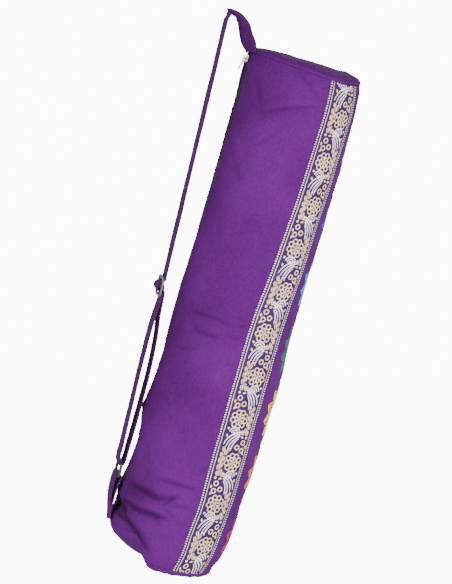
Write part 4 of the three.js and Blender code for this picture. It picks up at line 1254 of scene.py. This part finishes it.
def dress(piece, look, body, slot, *nodes):
    """Gives a piece its material, the body it rides on and the nodes it stands for; the slot is not used.
    """
    piece.data.materials.clear()
    piece.data.materials.append(look)
    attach(piece, body)
    if nodes:
        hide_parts(*nodes)
    return piece


def rounded_copy(node, name, width, segments):
    """A copy of a rigid node with its loose triangles merged, its flat faces joined, and a small round
    on its edges."""
    mesh = bmesh.new()
    mesh.from_mesh(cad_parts[node].data)
    bmesh.ops.remove_doubles(mesh, verts=mesh.verts, dist=2e-6)
    bmesh.ops.dissolve_limit(mesh, angle_limit=math.radians(1.5), verts=mesh.verts, edges=mesh.edges)
    bmesh.ops.recalc_face_normals(mesh, faces=mesh.faces)
    made = bpy.data.meshes.new(name)
    mesh.to_mesh(made)
    mesh.free()
    made.polygons.foreach_set("use_smooth", np.ones(len(made.polygons), bool))
    piece = bpy.data.objects.new(name, made)
    bpy.context.scene.collection.objects.link(piece)
    bevel = piece.modifiers.new("rounded", "BEVEL")
    bevel.width = width
    bevel.segments = segments
    bevel.limit_method = "ANGLE"
    bevel.angle_limit = math.radians(32)
    bevel.harden_normals = True
    bevel.use_clamp_overlap = True
    return piece


class BagCloth(bpy.types.PropertyGroup):
    """The bag's cloth."""

    colour: FloatVectorProperty(
        name="Cloth colour", description="Dye of the bag's cotton", subtype="COLOR", size=4,
        default=linear(75, 9, 93), min=0, max=1,
    )
    crease_depth: FloatProperty(
        name="Crease depth", description="Depth of the sharp creases and waves, as a share", default=1.0,
        min=0, max=2, subtype="FACTOR",
    )
    unevenness: FloatProperty(
        name="Unevenness", description="Height of the cloth's slow waves, as a share", default=1.2, min=0,
        max=3, subtype="FACTOR",
    )
    pucker: FloatProperty(
        name="Pucker", description="Height of the puckers along sewn lines, as a share", default=1.0, min=0,
        max=3, subtype="FACTOR",
    )
    thread_pitch: FloatProperty(
        name="Thread pitch", description="Distance between neighbouring threads", default=0.0006,
        min=0.0002, max=0.002, subtype="DISTANCE", unit="LENGTH", precision=5,
    )


class BagRibbons(bpy.types.PropertyGroup):
    """The brocade ribbons and the embroidery."""

    ground: FloatVectorProperty(
        name="Ground colour", description="Violet ground of the ribbon", subtype="COLOR", size=4,
        default=linear(46, 4, 70), min=0, max=1,
    )
    gold: FloatVectorProperty(
        name="Gold thread", description="Colour of the figures", subtype="COLOR", size=4,
        default=linear(255, 220, 170), min=0, max=1,
    )
    pale: FloatVectorProperty(
        name="Pale thread", description="Colour of the buds, beads and lines", subtype="COLOR", size=4,
        default=linear(255, 238, 250), min=0, max=1,
    )
    relief: FloatProperty(
        name="Relief", description="How far the figures stand up", default=0.00022, min=0, max=0.0005,
        subtype="DISTANCE", unit="LENGTH", precision=5,
    )
    band_width: FloatProperty(
        name="Satin band", description="Width of the embroidered bands", default=0.0024, min=0.001,
        max=0.005, subtype="DISTANCE", unit="LENGTH", precision=5,
    )


class BagZip(bpy.types.PropertyGroup):
    """The zip."""

    colour: FloatVectorProperty(
        name="Zip colour", description="Colour of tape and coil", subtype="COLOR", size=4,
        default=linear(12, 9, 15), min=0, max=1,
    )
    metal: FloatVectorProperty(
        name="Metal", description="Colour of the slider and the pull", subtype="COLOR", size=4,
        default=linear(222, 208, 200), min=0, max=1,
    )
    coil_pitch: FloatProperty(
        name="Coil pitch", description="Distance between neighbouring teeth", default=0.0018, min=0.0008,
        max=0.004, subtype="DISTANCE", unit="LENGTH", precision=5,
    )


class BagStrap(bpy.types.PropertyGroup):
    """The strap and its hardware."""

    colour: FloatVectorProperty(
        name="Strap colour", description="Dye of the strap's cotton", subtype="COLOR", size=4,
        default=linear(70, 11, 84), min=0, max=1,
    )
    adjuster: FloatVectorProperty(
        name="Adjuster colour", description="Grey plastic", subtype="COLOR", size=4,
        default=linear(58, 58, 64), min=0, max=1,
    )
    ring: FloatVectorProperty(
        name="Ring colour", description="Black plastic", subtype="COLOR", size=4,
        default=linear(30, 30, 35), min=0, max=1,
    )
    stitch_pitch: FloatProperty(
        name="Stitch pitch", description="Distance between neighbouring stitches", default=0.0034,
        min=0.002, max=0.008, subtype="DISTANCE", unit="LENGTH", precision=5,
    )


class BagStage(bpy.types.PropertyGroup):
    """The floor and the lights."""

    floor: FloatVectorProperty(
        name="Floor colour", description="Pale floor", subtype="COLOR", size=4,
        default=(0.86, 0.86, 0.86, 1.0), min=0, max=1,
    )
    glow: FloatProperty(
        name="Floor glow", description="How bright the pale floor shows", default=10.0, min=0,
    )
    key: FloatProperty(
        name="Key light", description="Power of the large soft light", default=26.0, min=0, unit="POWER",
    )
    fill: FloatProperty(
        name="Fill light", description="Power of the soft light on the other side", default=18.0, min=0,
        unit="POWER",
    )
    sky: FloatProperty(
        name="Surrounding light", description="Strength of the light from all sides", default=0.95, min=0,
    )
    backdrop: FloatProperty(
        name="Backdrop", description="Brightness of the white seen behind the bag", default=12.0, min=0,
    )
    rows: IntProperty(
        name="Floor rows", description="Steps of the floor's mesh", default=24, min=4, max=200,
    )


class MESH_OT_bag_body(bpy.types.Operator):
    """Makes the cotton tube and its two puffed ends"""

    bl_idname = "mesh.bag_body"
    bl_label = "Bag cloth and ends"

    def execute(self, context):
        cloth = context.scene.bag_cloth
        line = StrapLine()
        look = cloth_material("purple_cotton", tuple(cloth.colour), cloth.thread_pitch)
        half = degrees_of(GAP) / 2
        for name, node, start, end, rows, cols in (
            ("near_cloth", "near_panel", ZIP_ANGLE + SLOT_HALF, NEAR_JOIN - half, 381, 137),
            ("front_cloth", "front_strip", NEAR_JOIN + half, FAR_JOIN - half, 301, 81),
            ("far_cloth", "far_panel", FAR_JOIN + half, ZIP_ANGLE + 360 - SLOT_HALF, 281, 85),
        ):
            angles = np.linspace(start, end, cols)
            panel = sheet_on_cloth(line, name, closer_rows(rows), angles, 0.0, -CLOTH_WALL, shade=True)
            dress(panel, look, "bag", "cloth", node)
        top = end_cap(line, "bag_top_end", 0.0, 1, TOP_BULGE)
        dress(top, look, "bag", "cloth", "top_cap")
        bottom = end_cap(line, "bag_bottom_end", 1.0, -1, BOTTOM_BULGE)
        dress(bottom, look, "bag", "cloth", "bottom_cap")
        return {"FINISHED"}


class MESH_OT_bag_ribbons(bpy.types.Operator):
    """Makes the two brocade ribbons and the embroidered rosettes between them"""

    bl_idname = "mesh.bag_ribbons"
    bl_label = "Ribbons and embroidery"

    def execute(self, context):
        ribbons = context.scene.bag_ribbons
        line = StrapLine()
        look = brocade_material(
            "brocade_ribbon", tuple(ribbons.ground), tuple(ribbons.gold), tuple(ribbons.pale)
        )
        for name, node, start, rows, cols in (
            ("brocade_near", "ribbon_near", RIBBON_ANGLE, 929, 81),
            ("brocade_far", "ribbon_far", FAR_RIBBON_ANGLE, 601, 57),
        ):
            shares = np.linspace(0, 1, rows)
            angles = np.linspace(start, start + RIBBON_SPAN, cols)
            s, a = np.meshgrid(shares, angles, indexing="ij")
            u = (a - start) / RIBBON_SPAN * RIBBON_WIDTH
            v = mix(top_seam(a), bottom_seam(a), s) + BAG_LENGTH / 2 + PATTERN_START
            thread, golden = brocade(u, v)
            edge = np.minimum(u, RIBBON_WIDTH - u)
            height = GAP + 0.68 + ribbons.relief / MM * ease(thread, -0.5, 0.5) - 0.3 * np.exp(-edge / 0.8)
            piece = sheet_on_cloth(
                line, name, shares, angles, height, 0.12, {"thread": thread, "golden": golden}
            )
            dress(piece, look, "bag", "brocade", node)
        width = ribbons.band_width / MM
        for number, (down, colour) in enumerate(ROSETTES):
            verts = []
            faces = []
            start = 0
            for outline in rosette_lines(ROSETTE_RADIUS):
                angle = STRIP_MIDDLE + np.degrees(outline[:, 0] / BAG_RADIUS)
                share = (down + outline[:, 1] - top_seam(angle)) / (bottom_seam(angle) - top_seam(angle))
                band, quads = satin_band(
                    off_cloth(share, angle, 0.25), cloth_normal(share, angle), width, 0.8
                )
                verts.append(band)
                faces += (quads + start).tolist()
                start += len(band)
            piece = make_piece(f"rosette_{number + 1}", to_row(line, np.vstack(verts)), faces)
            look = thread_material(f"satin_thread_{number + 1}", colour)
            dress(piece, look, "bag", "brocade")
        return {"FINISHED"}


class MESH_OT_bag_zip(bpy.types.Operator):
    """Makes the zip: its tape, coil, slider and pull"""

    bl_idname = "mesh.bag_zip"
    bl_label = "Zip"

    def execute(self, context):
        sizes = context.scene.bag_zip
        line = StrapLine()
        tape_look = tape_material("zip_tape_knit", tuple(sizes.colour))
        angles = np.linspace(ZIP_ANGLE - TAPE_HALF, ZIP_ANGLE + TAPE_HALF, 13)
        tape = sheet_on_cloth(
            line, "zip_tape_strip", np.linspace(0, 1, 201), angles, TAPE_OUTER, TAPE_OUTER - TAPE_THICK
        )
        dress(tape, tape_look, "bag", "zip_tape", "zip_tape")
        shares = np.linspace(0.0015, 0.9985, 2001)
        angles = np.linspace(ZIP_ANGLE - TEETH_HALF, ZIP_ANGLE + TEETH_HALF, 11)
        s, a = np.meshgrid(shares, angles, indexing="ij")
        across = (a - ZIP_ANGLE) / TEETH_HALF
        down = mix(top_seam(a), bottom_seam(a), s) * MM
        turn = 2 * np.pi * down / sizes.coil_pitch + np.where(across > 0, np.pi, 0.0)
        crown = 1 - np.abs(across) ** 4
        ridge = (0.5 + 0.5 * np.cos(turn)) * np.clip(1.15 - np.abs(np.abs(across) - 0.5), 0, 1)
        height = TEETH_INNER + 0.35 + TEETH_THICK * (0.18 * crown + 0.52 * ridge * crown)
        coil = sheet_on_cloth(line, "zip_coil", shares, angles, height, TEETH_INNER)
        dress(coil, coil_material("zip_nylon", tuple(sizes.colour)), "bag", "zip_teeth", "zip_teeth")
        metal = metal_material("plated_metal", tuple(sizes.metal))
        slider = rounded_copy("zip_slider", "zip_slider_body", 0.0004, 3)
        dress(slider, metal, "bag", "zip_metal", "zip_slider")
        pull = rounded_copy("zip_pull", "zip_pull_tab", 0.00035, 3)
        dress(pull, metal, "zip_pull", "zip_metal", "zip_pull")
        return {"FINISHED"}


class MESH_OT_bag_strap(bpy.types.Operator):
    """Makes the shoulder strap, the tab, the adjuster and the ring"""

    bl_idname = "mesh.bag_strap"
    bl_label = "Strap and hardware"

    def execute(self, context):
        sizes = context.scene.bag_strap
        line = StrapLine()
        look = cloth_material("strap_cotton", tuple(sizes.colour), context.scene.bag_cloth.thread_pitch)
        lines = []
        for name, node, rows, step, seed in (
            ("strap_webbing", "shoulder_strap", short_side_rows(line) + long_side_rows(line), 2.2, 0.4),
            ("tab_webbing", "bottom_tab", tab_rows(line), 1.2, 2.1),
        ):
            verts, faces, uv, edges = strap_surface(rows, step, seed)
            piece = make_piece(name, verts * MM, faces, uv)
            dress(piece, look, "bag", "strap_cloth", node)
            lines += edges
        pitch = sizes.stitch_pitch / MM
        sewn = [even_stitches(p, n, pitch) for p, n in lines]
        verts, faces = capsule_rows(*(np.vstack(k) for k in zip(*sewn)), pitch * 0.72, 0.55, 0.5)
        thread = thread_material("strap_thread", toned(sizes.colour, 1.25))
        dress(make_piece("strap_stitches", verts * MM, faces), thread, "bag", "strap_cloth")
        adjuster = rounded_copy("strap_adjuster", "adjuster_frame", 0.0011, 4)
        grey = plastic_material("grey_moulded_plastic", tuple(sizes.adjuster), 0.42, 0.35)
        dress(adjuster, grey, "bag", "grey_plastic", "strap_adjuster")
        ring = make_piece("ring_wire", *ring_wire(line))
        black = plastic_material("black_moulded_plastic", tuple(sizes.ring), 0.36, 0.25)
        dress(ring, black, "bag", "black_plastic", "strap_ring")
        return {"FINISHED"}


def ring_wire(line):
    """A round wire carried round a rectangle with round corners, in the strap's plane."""
    x = (RING_WIDTH - RING_WIRE) / 2
    y = line.rail_reach
    c = RING_WIRE
    t = np.linspace(0, np.pi / 2, 12)
    path = []
    outs = []
    for k, (cx, cy) in enumerate(((x - c, y - c), (-x + c, y - c), (-x + c, -y + c), (x - c, -y + c))):
        a = t + k * np.pi / 2
        d = np.stack([np.cos(a), np.sin(a)], -1)
        path.append(np.array([cx, cy]) + c * d)
        outs.append(d)
    path = np.vstack(path)
    outs = np.vstack(outs)
    sides = 24
    w = np.arange(sides) * 2 * np.pi / sides
    flat = path[:, None] + outs[:, None] * (RING_WIRE / 2 * np.cos(w))[None, :, None]
    rise = np.broadcast_to(RING_WIRE / 2 * np.sin(w), flat.shape[:2])
    middle = line.on_run(line.ring_run, RING_STAND_OFF)
    verts = middle + flat[..., :1] * line.side - flat[..., 1:] * line.run + rise[..., None] * line.away
    faces = tube_quads(len(path), sides)[:, [0, 3, 2, 1]]
    return verts.reshape(-1, 3) * MM, faces.tolist()


class MESH_OT_bag_stitches(bpy.types.Operator):
    """Makes the stitches along the ribbons' edges and the zip"""

    bl_idname = "mesh.bag_stitches"
    bl_label = "Stitches on the bag"

    def execute(self, context):
        line = StrapLine()
        pitch = context.scene.bag_strap.stitch_pitch / MM
        share = np.linspace(0.004, 0.996, 500)
        inset = degrees_of(0.9)
        on_ribbon = GAP + 0.72
        slot = SLOT_HALF + degrees_of(2.4)
        rows = [(edge + way * inset, on_ribbon) for edge, way in zip(RIBBON_EDGES, (1, -1, 1, -1))]
        rows += [(ZIP_ANGLE + slot, 0.1), (ZIP_ANGLE - slot, 0.1)]
        sewn = [stitch_line(share, np.full(share.shape, angle), off, pitch, line) for angle, off in rows]
        verts, faces = capsule_rows(*(np.vstack(k) for k in zip(*sewn)), pitch * 0.7, 0.5, 0.42)
        thread = thread_material("bag_thread", toned(context.scene.bag_cloth.colour, 1.2))
        dress(make_piece("bag_stitches", verts * MM, faces), thread, "bag", "cloth")
        return {"FINISHED"}


class MESH_OT_bag_stage(bpy.types.Operator):
    """Makes the pale floor, the soft lights and the camera"""

    bl_idname = "mesh.bag_stage"
    bl_label = "Stage"

    def execute(self, context):
        stage = context.scene.bag_stage
        low = cad_box[0][2] - FLOOR_DROP
        count = stage.rows
        reach = np.linspace(0, FLOOR_REACH, count)
        around = np.arange(FLOOR_SPOKES) * 2 * np.pi / FLOOR_SPOKES
        x = reach[:, None] * np.cos(around)
        y = reach[:, None] * np.sin(around)
        verts = np.stack([x[1:], y[1:], np.full_like(x[1:], low)], -1).reshape(-1, 3)
        verts = np.vstack([verts, [[0, 0, low]]])
        faces = grid_quads(count - 1, FLOOR_SPOKES, closed=True).tolist()
        faces += [(len(verts) - 1, j, (j + 1) % FLOOR_SPOKES) for j in range(FLOOR_SPOKES)]
        floor = bpy.data.meshes.new("floor")
        floor.from_pydata(verts.tolist(), [], faces)
        floor = bpy.data.objects.new("floor", floor)
        context.scene.collection.objects.link(floor)
        look = Look("pale_floor")
        place = look.node("ShaderNodeTexCoord").outputs["Object"]
        length = look.node("ShaderNodeVectorMath", operation="LENGTH")
        look.join(place, length.inputs[0])
        fade = look.ramp(length.outputs["Value"], 0.9, 2.6, 1.0, 0.0)
        seen = look.node("ShaderNodeLightPath").outputs["Is Camera Ray"]
        floor.data.materials.append(look.surface(
            Base_Color=tuple(stage.floor), Roughness=0.9, Specular_IOR_Level=0.2, Alpha=fade,
            Emission_Color=(1.0, 1.0, 1.0, 1.0), Emission_Strength=look.math("MULTIPLY", seen, stage.glow),
        ))
        self.lights(context, stage)
        self.camera(context)
        return {"FINISHED"}

    def lights(self, context, stage):
        world = bpy.data.worlds.new("pale_room")
        context.scene.world = world
        world.use_nodes = True
        back = world.node_tree.nodes["Background"]
        tree = world.node_tree
        back.inputs[0].default_value = (1.0, 1.0, 1.0, 1.0)
        seen = tree.nodes.new("ShaderNodeLightPath").outputs["Is Camera Ray"]
        strength = tree.nodes.new("ShaderNodeMix")
        tree.links.new(seen, strength.inputs[0])
        strength.inputs[2].default_value = stage.sky
        strength.inputs[3].default_value = stage.backdrop
        tree.links.new(strength.outputs[0], back.inputs[1])
        aim = np.array([-0.03, 0.0, -0.4])
        for name, place, size, power in (
            ("key", (0.3, -1.15, -0.4), 0.7, stage.key),
            ("fill", (-1.9, -1.5, 0.1), 1.6, stage.fill),
            ("rim", (0.9, 1.7, 0.9), 1.2, stage.fill * 0.8),
        ):
            lamp = bpy.data.lights.new(name, "AREA")
            lamp.shape = "SQUARE"
            lamp.size = size
            lamp.energy = power
            made = bpy.data.objects.new(name, lamp)
            made.location = place
            made.rotation_euler = look_rotation(np.array(place), aim)
            context.scene.collection.objects.link(made)

    def camera(self, context):
        data = bpy.data.cameras.new("camera")
        data.sensor_width = CAMERA_SENSOR
        data.lens = CAMERA_LENS
        data.clip_start = 0.05
        data.clip_end = 50.0
        camera = bpy.data.objects.new("camera", data)
        target = np.array(CAMERA_TARGET)
        rise = math.radians(CAMERA_RISE)
        place = target + CAMERA_AWAY * np.array([0, -math.cos(rise), math.sin(rise)])
        camera.location = place
        camera.rotation_euler = look_rotation(place, target)
        context.scene.collection.objects.link(camera)
        context.scene.camera = camera


def look_rotation(place, target):
    """Angles that turn a light or camera from its place towards a target, with its top up."""
    x, y, z = target - place
    return (math.atan2(math.hypot(x, y), -z), 0.0, math.atan2(y, x) - math.pi / 2)


class VIEW3D_PT_mat_bag(bpy.types.Panel):
    """The mat bag's steps and settings"""

    bl_label = "Mat bag"
    bl_space_type = "VIEW_3D"
    bl_region_type = "UI"
    bl_category = "Mat bag"

    def draw(self, context):
        for name, steps in (
            ("bag_cloth", ("mesh.bag_body",)),
            ("bag_ribbons", ("mesh.bag_ribbons",)),
            ("bag_zip", ("mesh.bag_zip",)),
            ("bag_strap", ("mesh.bag_strap", "mesh.bag_stitches")),
            ("bag_stage", ("mesh.bag_stage",)),
        ):
            box = self.layout.box()
            group = getattr(context.scene, name)
            for key in type(group).__annotations__:
                box.prop(group, key)
            for step in steps:
                box.operator(step)


GROUPS = (
    ("bag_cloth", BagCloth),
    ("bag_ribbons", BagRibbons),
    ("bag_zip", BagZip),
    ("bag_strap", BagStrap),
    ("bag_stage", BagStage),
)
STEPS = (
    MESH_OT_bag_body,
    MESH_OT_bag_ribbons,
    MESH_OT_bag_zip,
    MESH_OT_bag_strap,
    MESH_OT_bag_stitches,
    MESH_OT_bag_stage,
    VIEW3D_PT_mat_bag,
)


def register():
    for name, group in GROUPS:
        bpy.utils.register_class(group)
        setattr(bpy.types.Scene, name, PointerProperty(type=group))
    for step in STEPS:
        bpy.utils.register_class(step)


def unregister():
    for step in reversed(STEPS):
        bpy.utils.unregister_class(step)
    for name, group in reversed(GROUPS):
        delattr(bpy.types.Scene, name)
        bpy.utils.unregister_class(group)


def main():
    register()
    bpy.ops.mesh.bag_body()
    bpy.ops.mesh.bag_ribbons()
    bpy.ops.mesh.bag_zip()
    bpy.ops.mesh.bag_strap()
    bpy.ops.mesh.bag_stitches()
    bpy.ops.mesh.bag_stage()
    bpy.context.view_layer.update()


if __name__ == "__main__":
    main()
